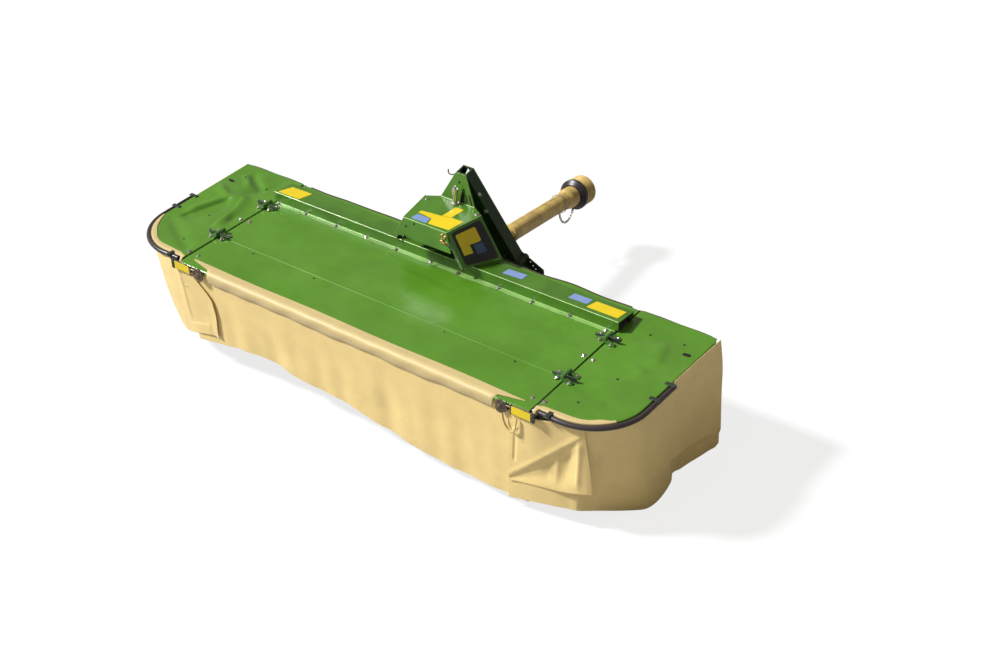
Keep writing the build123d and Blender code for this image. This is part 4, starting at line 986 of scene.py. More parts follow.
@dataclass
class EdgeRoll:
    """Padded cloth roll over the deck's front edge."""

    shop: Workshop
    half: float = 1.088
    full_half: float = 0.925
    thickness: float = 0.0025
    width: float = 0.136
    end_width: float = 0.052
    end_cut: float = 0.042
    calm_ends: Pair = (0.80, 0.92)
    cut: Pair = (2.18, 0.14)
    cut_area: float = 0.27
    profile: tuple[Point, ...] = (
        (0.0, -0.436, 0.6829), (0.022, -0.458, 0.6838), (0.046, -0.482, 0.6850), (0.060, -0.4955, 0.6815),
        (0.072, -0.5050, 0.6740), (0.084, -0.5090, 0.6630), (0.100, -0.5085, 0.6470), (0.118, -0.5055, 0.6295),
        (0.136, -0.4985, 0.6130),
    )

    def place(self, s: float, t: float) -> Vector:
        """Middle surface of the roll.

        Args:
            s: Share across, from the left.
            t: Share of its width, from the deck's top down.

        Returns:
            The point.
        """
        x = self.half * (2 * s - 1)
        ending = max(0.0, min(1.0, (abs(x) - self.full_half) / (self.half - self.full_half)))
        narrow = smooth(abs(x), self.full_half, self.full_half + 0.03)
        low = self.width + (self.end_width - self.width) * narrow - self.end_cut * ending
        start = 0.003 * math.sin(7.0 * x) + 0.004
        loose = 1 - smooth(abs(x), *self.calm_ends)
        sag = 0.010 * noise.noise(Vector((x * 3.1, 0.4, 0.0))) * loose
        at = start + (low - start) * t
        y, z = read_table(self.profile, at)
        z += sag * smooth(at, 0.085, self.width)
        pad = 0.0016 * math.sin(x * 31.0 + 4.0 * t) * smooth(at, 0.05, 0.10)
        return Vector((x, y - pad * loose, z))

    def build(self) -> None:
        """Make the roll, in the darker cloth copy that is painted shade."""
        piece = self.shop.shell("deck_edge_roll", self.place, (240, 22), self.thickness, SUN_DIMMED_CLOTH)


@dataclass
class CornerCurtain:
    """Cloth round a folding guard's corner: a side sheet and a front flap over it."""

    shop: Workshop
    side: str
    thickness: float = 0.002
    rail_z: float = 0.6568
    rear_rise: float = 0.0250
    tube_end: Pair = (0.215, 0.265)
    overlap_z: float = 0.6512
    overlap_y: float = -0.5007
    bend: Pair = (-0.004, 0.190)
    inner_start: float = -0.123
    flap_end: float = 0.262
    left_flap: Pair = (-0.085, 0.240)
    sheet_out: float = 0.0016
    flap_out: float = 0.0046
    fold_depth: float = 0.032
    hollow: float = 0.014
    bulge: float = 0.014
    diagonal: tuple[Pair, Pair] = ((1.038, 0.224), (1.410, 0.618))
    sheet_cut: dict[str, Pair] = field(default_factory=lambda: {"left": (1.42, 0.57), "right": (1.42, 0.66)})
    flap_cut: dict[str, Pair] = field(default_factory=lambda: {"left": (0.38, 0.48), "right": (0.42, 0.44)})
    rivets: dict[str, Spots] = field(default_factory=lambda: {
        "left": ((0.300, 0.300), (0.330, 0.300)),
        "right": ((0.185, 0.345), (0.215, 0.345), (0.200, 0.390)),
    })
    hem: Table = (
        (-0.123, 1.009, -0.465, 0.058), (-0.030, 1.114, -0.459, 0.079), (0.060, 1.200, -0.450, 0.094),
        (0.150, 1.272, -0.438, 0.104), (0.215, 1.333, -0.424, 0.110), (0.254, 1.374, -0.413, 0.113),
        (0.262, 1.381, -0.408, 0.112), (0.270, 1.386, -0.396, 0.104), (0.300, 1.402, -0.345, 0.076),
        (0.345, 1.435, -0.278, 0.045), (0.420, 1.500, -0.200, 0.020), (0.500, 1.572, -0.122, 0.006),
        (0.530, 1.593, -0.092, 0.005), (0.560, 1.604, -0.055, 0.005), (0.640, 1.611, 0.000, 0.006),
        (0.720, 1.614, 0.060, 0.024), (0.800, 1.608, 0.130, 0.049), (0.870, 1.614, 0.200, 0.040),
        (0.940, 1.623, 0.262, 0.023), (1.050, 1.634, 0.370, 0.017), (1.160, 1.645, 0.470, 0.016),
        (1.230, 1.660, 0.520, 0.018), (1.290, 1.666, 0.548, 0.033),
    )
    left_hem: Table = (
        (-0.123, 1.024, -0.459, 0.215), (-0.030, 1.118, -0.459, 0.197), (0.010, 1.152, -0.455, 0.188),
        (0.100, 1.235, -0.415, 0.150), (0.225, 1.345, -0.345, 0.112), (0.340, 1.462, -0.250, 0.104),
        (0.430, 1.545, -0.165, 0.101), (0.520, 1.610, -0.085, 0.098), (0.650, 1.614, 0.015, 0.100),
        (0.800, 1.606, 0.151, 0.128), (0.940, 1.623, 0.292, 0.104), (1.110, 1.629, 0.464, 0.098),
        (1.290, 1.641, 0.622, 0.096),
    )
    flap_hem: Table = (
        (0.00, 1.0195, -0.481, 0.185), (0.17, 1.092, -0.475, 0.198), (0.35, 1.169, -0.468, 0.209),
        (0.53, 1.245, -0.460, 0.219), (0.70, 1.318, -0.452, 0.229), (0.86, 1.389, -0.441, 0.249),
        (0.94, 1.425, -0.430, 0.256), (1.00, 1.450, -0.416, 0.259),
    )
    creases: tuple[Fold, ...] = (
        Fold((1.019, 0.222), (1.410, 0.619), 0.0032, 0.010, 0.016, 0.03),
        Fold((1.062, 0.510), (1.050, 0.330), -0.0045, 0.004, 0.012, 0.02),
        Fold((1.016, 0.545), (1.040, 0.512), 0.004, 0.005, 0.005, 0.01),
        Fold((1.040, 0.512), (1.084, 0.560), 0.004, 0.005, 0.005, 0.01),
        Fold((1.335, 0.500), (1.310, 0.280), -0.0052, 0.030, 0.024, 0.04),
        Fold((1.240, 0.420), (1.225, 0.270), -0.0030, 0.026, 0.020, 0.04),
        Fold((1.285, 0.440), (1.275, 0.280), 0.0035, 0.014, 0.014, 0.04),
        Fold((1.392, 0.560), (1.388, 0.300), 0.0060, 0.012, 0.016, 0.04),
        Fold((1.150, 0.330), (1.390, 0.560), -0.0020, 0.010, 0.010, 0.04),
    )
    left_crease: Fold = Fold((1.161, 0.62), (1.150, 0.30), 0.005, 0.010, 0.030, 0.06)
    left_flap_hem: Table = (
        (0.00, 0.938, -0.474, 0.240), (0.18, 0.995, -0.473, 0.238), (0.45, 1.110, -0.464, 0.200),
        (0.75, 1.240, -0.432, 0.150), (1.00, 1.352, -0.368, 0.115),
    )

    @property
    def right(self) -> bool:
        """Whether this is the right side."""
        return self.side == "right"

    def rail(self, distance: float, out: float) -> Vector:
        """Point of the rail at a distance along the guard's edge.

        Args:
            distance: Distance from the hinge, below 0 in front of the deck.
            out: How far the cloth stands outside the edge.

        Returns:
            The point, drawn on the right side.
        """
        front = Vector((PLAN.edge_x + distance, self.overlap_y - (out - self.sheet_out), self.overlap_z))
        if distance <= self.bend[0]:
            return front
        edge_x, edge_y = PLAN.point(distance, out)
        past_tube = smooth(distance, *(PLAN.front_run + PLAN.arc + run for run in self.tube_end))
        edge = Vector((edge_x, edge_y, self.rail_z + self.rear_rise * past_tube))
        return front.lerp(edge, smooth(distance, *self.bend))

    def sheet_place(self, s: float, t: float) -> Vector:
        """Middle surface of the side sheet.

        Args:
            s: Share along the edge, from the deck's front to the rear.
            t: Share down, from the rail.

        Returns:
            The point, on its own side.
        """
        distance = self.inner_start + (PLAN.length - self.inner_start) * s
        top = self.rail(distance, self.sheet_out)
        at = top.lerp(read_table(self.hem if self.right else self.left_hem, distance), t)
        back = 0.006 * math.sin(math.pi * t) * smooth(distance, 0.24, 0.5)
        if self.right:
            at.y += self.hollow_at(at.x, at.z) * (1 - smooth(distance, 0.20, self.flap_end))
            at.x += 0.027 * smooth(t, -0.12, 0.34) * (1 - t) * smooth(distance, 1.05, PLAN.length)
            back += self.fold_at(at, distance)
        back += 0.0035 * noise.noise(Vector((distance * 7.0, at.z * 3.0, 5.0))) * smooth(t, 0.08, 0.5)
        back += 0.004 * math.sin(distance * 21.0) * smooth(t, 0.3, 1.0) * smooth(distance, 0.62, 0.9)
        at = self.pushed(at, top, distance, t, back * smooth(distance, 0.0, 0.1))
        return Vector((at.x * SIDES[self.side], at.y, at.z))

    def fold_at(self, at: Vector, distance: float) -> float:
        """How far the right sheet is drawn in below the fold low on it.

        Args:
            at: The point.
            distance: Distance along the guard's edge.

        Returns:
            The depth.
        """
        crease = 0.117 + 0.129 * (0.597 - at.y)
        below = smooth(crease - at.z, 0.0, 0.030) * smooth(distance, 0.77, 0.86)
        return self.fold_depth * below * (1 - 0.7 * smooth(distance, 1.00, 1.25))

    def pushed(self, at: Vector, top: Vector, distance: float, t: float, back: float) -> Vector:
        """Move a point of the cloth inwards, and bulge the left corner outwards.

        Args:
            at: The point.
            top: Its point on the rail.
            distance: Distance along the guard's edge.
            t: Share down, from the rail.
            back: How far it moves inwards.

        Returns:
            The moved point.
        """
        outwards = Vector((top.x - PLAN.centre[0] + 0.1, top.y, 0.0)).normalized()
        if not self.right:
            round_corner = smooth(distance, 0.02, 0.20) * (1 - smooth(distance, 0.50, 0.66))
            back -= self.bulge * math.sin(math.pi * t) * round_corner
        return at - outwards * back

    def hollow_at(self, x: float, z: float) -> float:
        """How far the flap is pushed in below its diagonal crease.

        Args:
            x: Place across.
            z: Height.

        Returns:
            The depth.
        """
        (low_x, low_z), (high_x, high_z) = self.diagonal
        crease = low_z + (x - low_x) * (high_z - low_z) / (high_x - low_x)
        hem = 0.185 + (x - 1.019) * 0.17
        room = crease - hem
        if room <= 0.004 or z >= crease:
            return 0.0
        share = min(1.0, (crease - z) / room)
        profile = smooth(share, 0.0, 0.34) * (1.0 - 0.75 * smooth(share, 0.55, 1.0))
        edge = 1 - smooth(x, 1.335, 1.400)
        return self.hollow * min(1.0, (room / 0.20) ** 0.8) * profile * (0.15 + 0.85 * edge)

    def flap_place(self, s: float, t: float) -> Vector:
        """Middle surface of the front flap.

        Args:
            s: Share across, from the deck's side to the free corner.
            t: Share down, from the rail.

        Returns:
            The point, on its own side.
        """
        start, end = (self.inner_start, self.flap_end) if self.right else self.left_flap
        distance = start + (end - start) * s
        top = self.rail(distance, self.flap_out)
        at = top.lerp(read_table(self.flap_hem if self.right else self.left_flap_hem, s), t)
        if self.right:
            at.y += self.hollow_at(at.x, at.z)
            at.x += 0.010 * smooth(t, 0.1, 0.9) * smooth(s, 0.9, 1.0)
            for fold in self.creases:
                at.y -= fold.at(at.x, at.z)
        else:
            at = self.pressed(self.pushed(at, top, distance, t, 0.0), s, t)
        roll = 0.0022 * noise.noise(Vector((at.x * 9.0, 1.0, at.z * 6.0))) * smooth(t, 0.1, 0.5)
        return Vector((at.x * SIDES[self.side], at.y - roll, at.z))

    def pressed(self, at: Vector, s: float, t: float) -> Vector:
        """Widen the left flap, crease it and raise its pocket.

        Args:
            at: Point of the flap.
            s: Share across, from the deck's side to the free corner.
            t: Share down, from the rail.

        Returns:
            The moved point.
        """
        wider = 0.105 * smooth(t, 0.0, 0.42) * (1 - 0.35 * smooth(t, 0.55, 1.0)) - 0.068 * t
        at.x -= wider * (1 - smooth(s, 0.0, 0.42))
        at.y -= 0.004 * (1 - smooth(s, 0.0, 0.12)) * smooth(t, 0.15, 0.6)
        at.y -= self.left_crease.at(at.x, at.z)
        pocket = 1 - smooth(abs(at.z - 0.245 - 0.35 * (1.08 - at.x)), 0.036, 0.040)
        at.y -= 0.0022 * smooth(at.x, 0.992, 0.996) * (1 - smooth(at.x, 1.166, 1.170)) * pocket
        return at

    def build(self) -> None:
        """Make both sheets in place of the corner's plain solid."""
        body = f"guard_{self.side}"
        for name, place, steps, cut in (
            ("side_sheet", self.sheet_place, (230, 56), self.sheet_cut),
            ("front_flap", self.flap_place, (90, 80), self.flap_cut),
        ):
            piece = self.shop.shell(f"{name}_{self.side}", place, steps, self.thickness, CLOTH, body)
            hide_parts(f"corner_curtain_{self.side}")
        shape = bmesh.new()
        for s, t in self.rivets[self.side]:
            add_prism(shape, frame_of(self.flap_place(s, t), FORWARD), 0.0045, -0.001, 0.0030, 14, 0.7)
        self.shop.piece(f"flap_rivets_{self.side}", shape, BOLT_ZINC, body)


@dataclass
class SideCover:
    """Dented sheet cover of a folding guard."""

    shop: Workshop
    side: str
    top_z: float = 0.685
    skirt_z: float = 0.658
    edge_round: float = 0.006
    rear_corner: float = 0.045
    sheet: float = 0.003
    steps: int = 64
    round_steps: int = 4
    stiff_rim: Pair = (0.028, 0.060)
    deepest: float = 0.014
    strength: dict[str, float] = field(default_factory=lambda: {"left": 1.2, "right": 1.0})
    crumple: dict[str, float] = field(default_factory=lambda: {"left": 3.0, "right": 1.0})
    dents: dict[str, tuple[Fold, ...]] = field(default_factory=lambda: {
        "left": (
            Fold((1.480, -0.140), (1.398, 0.137), -0.016, 0.014, 0.070, 0.04),
            Fold((1.500, -0.060), (1.440, 0.120), 0.007, 0.018, 0.018, 0.04),
            Fold((1.545, 0.235), (1.423, 0.171), 0.012, 0.018, 0.032, 0.04),
            Fold((1.423, 0.171), (1.320, 0.205), 0.012, 0.020, 0.026, 0.04),
            Fold((1.245, -0.130), (1.275, 0.060), 0.012, 0.014, 0.045, 0.04),
            Fold((1.275, 0.060), (1.320, 0.190), 0.010, 0.014, 0.040, 0.04),
            Fold((1.215, -0.050), (1.225, 0.020), -0.009, 0.022, 0.022, 0.03),
            Fold((1.475, 0.440), (1.308, 0.325), -0.013, 0.020, 0.026, 0.04),
            Fold((1.500, 0.405), (1.395, 0.320), 0.010, 0.016, 0.022, 0.04),
            Fold((1.360, 0.240), (1.250, 0.400), -0.006, 0.030, 0.020, 0.05),
            Fold((1.500, -0.215), (1.180, -0.400), -0.008, 0.045, 0.028, 0.09),
        ),
        "right": (
            Fold((1.478, 0.052), (1.330, 0.090), 0.0050, 0.022, 0.050),
            Fold((1.455, 0.150), (1.405, 0.330), 0.0065, 0.024, 0.050),
            Fold((1.250, 0.280), (1.460, 0.405), -0.0065, 0.018, 0.034),
            Fold((1.230, -0.210), (1.480, -0.260), -0.0045, 0.040, 0.040),
            Fold((1.212, 0.140), (1.260, 0.230), -0.0040, 0.035, 0.035),
            Fold((1.300, -0.150), (1.420, -0.060), 0.0030, 0.040, 0.040),
        ),
    })

    def height(self, x: float, y: float, inside: float) -> float:
        """Height of the dented top.

        Args:
            x: Place across, on the right side.
            y: Place along.
            inside: Distance in from the cover's edge.

        Returns:
            The height.
        """
        raised = self.strength[self.side] * sum(fold.at(x, y) for fold in self.dents[self.side])
        raised += 0.0011 * self.crumple[self.side] * noise.noise(Vector((x * 9.0, y * 9.0, 2.0)))
        if raised < 0:
            raised *= smooth(inside, *self.stiff_rim)
        return self.top_z + max(raised, -self.deepest)

    def corner_point(self, share: float) -> tuple[Vector, Vector]:
        """Point and outward direction of the cover's outline.

        Args:
            share: Place round the outline in four quarters: front, outer side, rear, hinge side.

        Returns:
            The point and the direction, in plan.
        """
        inset, radius = self.edge_round, self.rear_corner - self.edge_round
        half_arc = PLAN.front_run + PLAN.arc / 2
        rear_arc = math.pi / 4 * radius
        outer_x, _ = PLAN.point(PLAN.length, -inset)
        centre = Vector((outer_x - self.rear_corner + inset, PLAN.rear_y - self.rear_corner, 0.0))
        quarter, u = int(share) % 4, share - int(share)
        if quarter == 0:
            return self._edge_at(u * half_arc)
        if quarter == 1:
            run = PLAN.length - half_arc - self.rear_corner
            at = u * (run + rear_arc)
            return self._edge_at(half_arc + at) if at < run else self._round(centre, (at - run) / radius)
        inner_x = PLAN.edge_x + inset
        if quarter == 2:
            at = u * (centre.x - inner_x + rear_arc)
            if at < rear_arc:
                return self._round(centre, math.pi / 4 + at / radius)
            return Vector((centre.x - (at - rear_arc), PLAN.rear_y - inset, 0.0)), Vector(BACK)
        low = PLAN.point(0.0, -inset)[1]
        y = PLAN.rear_y - inset + u * (low - PLAN.rear_y + inset)
        return Vector((inner_x, y, 0.0)), Vector((-1.0, 0.0, 0.0))

    def _edge_at(self, distance: float) -> tuple[Vector, Vector]:
        """Point and outward direction on the front, corner or outer side.

        Args:
            distance: Distance along the guard's edge.

        Returns:
            The point and the direction, in plan.
        """
        first = PLAN.point(distance, -self.edge_round)
        second = PLAN.point(distance, 0.0)
        facing = Vector((second[0] - first[0], second[1] - first[1], 0.0)).normalized()
        start = max(first[0], PLAN.edge_x + self.edge_round)
        return Vector((start, first[1], 0.0)), facing

    def _round(self, centre: Vector, turn: float) -> tuple[Vector, Vector]:
        """Point and outward direction on the rounded rear corner."""
        facing = Vector((math.cos(turn), math.sin(turn), 0.0))
        return centre + facing * (self.rear_corner - self.edge_round), facing

    def build(self) -> None:
        """Make the cover in place of its plain solid."""
        count = self.steps
        rim = [self.corner_point(k / count) for k in range(4 * count)]
        shape = bmesh.new()
        verts = [[shape.verts.new(self._coons(rim, i, j)) for j in range(count + 1)] for i in range(count + 1)]
        for i in range(count):
            for j in range(count):
                shape.faces.new((verts[i][j], verts[i + 1][j], verts[i + 1][j + 1], verts[i][j + 1]))
        last = loop = [verts[i][j] for i, j in rim_steps(count, count)]
        for step in range(1, self.round_steps + 2):
            ring = [
                shape.verts.new(self._skirt(at, facing, start.co.z, step))
                for start, (at, facing) in zip(loop, rim)
            ]
            for k in range(len(ring)):
                m = (k + 1) % len(ring)
                shape.faces.new((last[k], ring[k], ring[m], last[m]))
            last = ring
        bmesh.ops.recalc_face_normals(shape, faces=shape.faces)
        thicken(shape, self.sheet)
        if self.side == "left":
            bmesh.ops.scale(shape, vec=(-1.0, 1.0, 1.0), verts=shape.verts)
        piece = self.shop.piece(f"dented_cover_{self.side}", shape, GREEN, f"guard_{self.side}", 40)
        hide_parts(f"side_cover_{self.side}")

    def _skirt(self, at: Vector, facing: Vector, top: float, step: int) -> Vector:
        """Point on the rounded edge or, past its last step, at the skirt's wavy hem.

        Args:
            at: Point of the outline, in plan.
            facing: Its outward direction.
            top: Height of the cover's top there.
            step: Which step, from 1.

        Returns:
            The point.
        """
        if step > self.round_steps:
            wave = 0.0015 * math.sin(at.y * 23.0 + at.x * 17.0)
            return Vector((at.x, at.y, self.skirt_z + wave)) + facing * self.edge_round
        turn = math.pi / 2 * step / self.round_steps
        out, down = self.edge_round * math.sin(turn), self.edge_round * (1 - math.cos(turn))
        return Vector((at.x, at.y, top - down)) + facing * out

    def _coons(self, rim: list[tuple[Vector, Vector]], i: int, j: int) -> Vector:
        """Point of the dented top inside the outline.

        Args:
            rim: Points round the outline.
            i: Step across, from the hinge's side.
            j: Step along, from the front.

        Returns:
            The point.
        """
        count = self.steps
        s, t = i / count, j / count
        front, outer = rim[i][0], rim[(count + j) % (4 * count)][0]
        rear, inner = rim[3 * count - i][0], rim[(4 * count - j) % (4 * count)][0]
        corners = rim[0][0], rim[count][0], rim[2 * count][0], rim[3 * count][0]
        at = front * (1 - t) + rear * t + inner * (1 - s) + outer * s
        at -= (
            corners[0] * (1 - s) * (1 - t) + corners[1] * s * (1 - t)
            + corners[2] * s * t + corners[3] * (1 - s) * t
        )
        inside = min(at.x - PLAN.edge_x, PLAN.rear_y - at.y, at.y - PLAN.front_y, self._outer_gap(at.x, at.y))
        at.z = self.height(at.x, at.y, inside)
        return at

    @staticmethod
    def _outer_gap(x: float, y: float) -> float:
        """Distance in from the outer side and the rounded corner.

        Args:
            x: Place across, on the right side.
            y: Place along.

        Returns:
            The distance.
        """
        centre_x, centre_y = PLAN.centre
        if y < centre_y and x > centre_x:
            return PLAN.corner - math.hypot(x - centre_x, y - centre_y)
        return PLAN.side_x(y) - x


@dataclass
class GuardBand:
    """Strip of the side cloth that shows between a cover's edge and its bumper tube."""

    shop: Workshop
    side: str
    start: float = 0.001
    thickness: float = 0.0022
    top_z: float = 0.6868
    width: float = 0.046
    tab_run: Pair = (0.012, 0.029)
    arc_share: dict[str, float] = field(default_factory=lambda: {"left": 0.93, "right": 0.60})
    length: dict[str, float] = field(default_factory=lambda: {"left": 0.66, "right": 0.50})

    def place(self, s: float, t: float) -> Vector:
        """Middle surface of the strip.

        Args:
            s: Share along the edge, from the hinge's end.
            t: Share of its width, from the cover's top outwards and down.

        Returns:
            The point, on its own side.
        """
        end = PLAN.front_run + PLAN.arc * self.arc_share[self.side]
        distance = self.start + (end - self.start) * s
        narrow = 0.35 + 0.65 * smooth(s, 0.0, 0.10) * (1 - smooth(s, 0.80, 1.0))
        inner = -0.027 * narrow + 0.003 * math.sin(distance * 31.0) * narrow
        tab = 1 - smooth(distance, *self.tab_run)
        profile = (
            (0.0, inner, self.top_z), (0.45, -0.004, self.top_z + 0.0002),
            (0.62, 0.0010 + 0.008 * tab, self.top_z - 0.0022), (0.72, 0.0018 + 0.018 * tab, self.top_z - 0.0060),
            (1.0, 0.0020 + 0.032 * tab, self.top_z - 0.0200 - 0.020 * tab),
        )
        out, z = read_table(profile, t)
        x, y = PLAN.point(distance, out)
        return Vector((x * SIDES[self.side], y, z))

    def build(self) -> None:
        """Make the strip, in the darker cloth copy that is painted shade."""
        body = f"guard_{self.side}"
        piece = self.shop.shell(f"guard_band_{self.side}", self.place, (120, 16), self.thickness, SUN_DIMMED_CLOTH, body)
        flat = (self.length[self.side], self.width)


@dataclass
class Fasteners:
    """Bolt heads, gussets and open holes of the fixed frame and the guards; the holes are dark discs of painted
    shade.
    """

    shop: Workshop
    flange_bolts: tuple[float, ...] = (
        -1.118, -0.913, -0.685, -0.464, -0.252, -0.018, 0.173, 0.432, 0.649, 0.878, 1.100,
    )
    fixed_bolts: Spots = ((1.115, 0.180), (1.120, 0.022), (1.111, -0.211), (1.098, -0.162), (1.097, 0.226))
    moving_bolts: Spots = (
        (1.184, 0.168), (1.178, 0.012), (1.188, -0.217), (1.168, -0.403), (1.190, -0.150), (1.190, 0.234),
    )
    corner_bolt: Pair = (1.100, -0.403)
    gusset_rows: Pair = (-0.198, 0.195)
    fixed_gusset: Spots = ((1.076, 0.690), (1.136, 0.694), (1.136, 0.711), (1.076, 0.702))
    moving_gusset: Spots = ((1.160, 0.696), (1.214, 0.690), (1.216, 0.716), (1.160, 0.713))
    cover_holes: Spots = ((1.300, -0.314), (1.359, -0.054), (1.302, 0.361), (1.485, 0.381))
    deck_holes: Spots = ((-0.869, -0.213), (-0.433, -0.211), (0.433, -0.211), (0.869, -0.213))
    hole_radius: float = 0.0065
    lifting_slot: Pair = (1.536, 0.312)

    def build(self) -> None:
        """Make every bolt, gusset and hole."""
        shape = bmesh.new()
        for k, x in enumerate(self.flange_bolts):
            add_bolt(shape, (x, 0.264 + 0.003 * math.sin(3.0 * k), FLANGE_TOP), UP, 0.017)
        corner_x, corner_y = self.corner_bolt
        for sign in SIDES.values():
            for x, y in self.fixed_bolts:
                on_plate = abs(abs(y) - 0.19) < 0.05
                add_bolt(shape, (sign * x, y, deck_top(y) + (PLATE_UP if on_plate else 0.0)), UP)
            add_bolt(shape, (sign * corner_x, corner_y, deck_top(corner_y)), UP, 0.014)
        self.shop.piece("deck_bolts", shape, BOLT_ZINC)
        shape = bmesh.new()
        for sign in SIDES.values():
            self._gussets(shape, sign, self.fixed_gusset)
        self.shop.piece("hinge_gussets", shape, CLAMP_PAINT)
        shape = bmesh.new()
        # Deck holes: dark discs of painted shade.
        for x, y in self.deck_holes:
            add_prism(shape, frame_of((x, y, deck_top(y)), UP), self.hole_radius, -0.002, 0.0004, 16)
        self.shop.piece("deck_holes", shape, PAINTED_OPENING_SHADE)
        for side, sign in SIDES.items():
            self._guard(side, sign)

    def _gussets(self, shape: Mesh, sign: int, outline: Spots) -> None:
        """Add the standing plates of one side's hinges."""
        for y in self.gusset_rows:
            add_plate(shape, [Vector((sign * x, y, z)) for x, z in outline], (0.0, 0.006, 0.0))

    def _guard(self, side: str, sign: int) -> None:
        """Bolts, gussets, holes and lifting slot of one guard.

        Args:
            side: Name of the side.
            sign: Its direction across.
        """
        cover, body = SideCover(self.shop, side), f"guard_{side}"
        shape = bmesh.new()
        for x, y in self.moving_bolts:
            on_plate = min(abs(y - 0.2), abs(y + 0.184)) < 0.045
            add_bolt(shape, (sign * x, y, cover.top_z + (PLATE_UP if on_plate else 0.0)), UP)
        self.shop.piece(f"guard_bolts_{side}", shape, BOLT_ZINC, body)
        shape = bmesh.new()
        self._gussets(shape, sign, self.moving_gusset)
        self.shop.piece(f"guard_gussets_{side}", shape, CLAMP_PAINT, body)
        # Holes and lifting slot: dark plates of painted shade.
        shape = bmesh.new()
        for x, y in self.cover_holes:
            place = frame_of((sign * x, y, cover.height(x, y, 0.1)), UP)
            add_prism(shape, place, self.hole_radius, -0.003, 0.0008, 16)
        x, y = self.lifting_slot
        at = (sign * x, y, cover.height(x, y, 0.06) + 0.0004)
        add_slot(shape, frame_of(at, UP, math.radians(8 * sign)), 0.044, 0.022, 0.0012)
        self.shop.piece(f"guard_holes_{side}", shape, PAINTED_OPENING_SHADE, body)


@dataclass
class BeamDress:
    """Flange strip under the beam in a painted-highlight green, its fold line in painted highlight, dark end
    plates of painted shade and its blank plates.
    """

    shop: Workshop
    half: float = 1.140
    front_y: float = 0.252
    rear_y: float = 0.2795
    end_x: float = 1.138
    end_section: Spots = ((0.2862, 0.606), (0.4268, 0.606), (0.4268, 0.7268), (0.2862, 0.7428))

    def flange_place(self, s: float, t: float) -> Vector:
        """Middle surface of the wavy flange between the deck and the beam.

        Args:
            s: Share across, from the left.
            t: Share of its width, from the deck to the beam.

        Returns:
            The point.
        """
        x = self.half * (2 * s - 1)
        y = self.front_y + (self.rear_y - self.front_y) * t
        edge = 0.0016 * math.sin(x * 19.0) + 0.0012 * math.sin(x * 43.0 + 1.0)
        y += edge * (1 - t)
        z = deck_top(y) + 0.0016 + 0.0008 * math.sin(x * 14.0 + 1.2) * (1 - t) + 0.003 * smooth(t, 0.8, 1.0)
        return Vector((x, y, z))

    def beam_top(self, y: float) -> float:
        """Height of the beam's sloping top."""
        return 0.749 + (0.732 - 0.749) * (y - 0.280) / 0.153

    def build(self) -> None:
        """Make the strip, the plates, the dark end plates of painted shade and the fold's painted highlight line.
        """
        # The flange strip's lighter green is a painted highlight.
        self.shop.shell("beam_flange", self.flange_place, (200, 5), 0.0022, PAINTED_HIGHLIGHT_GREEN, smooth_deg=40)
        for name, finish, corners in (
            ("blue_plate_middle", BLUE_PLATE, ((0.4155, 0.328), (0.416, 0.388), (0.531, 0.398), (0.534, 0.339))),
            ("blue_plate_right", BLUE_PLATE, ((0.825, 0.333), (0.828, 0.392), (0.937, 0.395), (0.938, 0.338))),
            ("yellow_plate_right", YELLOW_PLATE, (
                (0.949, 0.312), (0.962, 0.395), (1.1375, 0.3985), (1.1336, 0.314),
            )),
            ("yellow_plate_left", YELLOW_PLATE, (
                (-1.140, 0.2945), (-1.120, 0.395), (-0.972, 0.399), (-0.982, 0.294),
            )),
        ):
            self.shop.blank_plate(name, finish, [(x, y, self.beam_top(y) + 0.0001) for x, y in corners], 0.006)
        # Dark end plates: painted shade inside the beam's open ends.
        shape = bmesh.new()
        for sign in SIDES.values():
            add_plate(shape, [(sign * self.end_x, y, z) for y, z in self.end_section], (-sign * 0.004, 0, 0))
        self.shop.piece("beam_end_painted_shade", shape, PAINTED_OPENING_SHADE)
        # Pale tube along the beam's top front edge: a painted highlight.
        shape = bmesh.new()
        add_tube(shape, [(x, 0.2812, 0.7480) for x in (-1.159, -0.5, 0.5, 1.159)], 0.0023)
        self.shop.piece("beam_front_painted_highlight", shape, PAINTED_HIGHLIGHT_FOLD, smooth_deg=60)


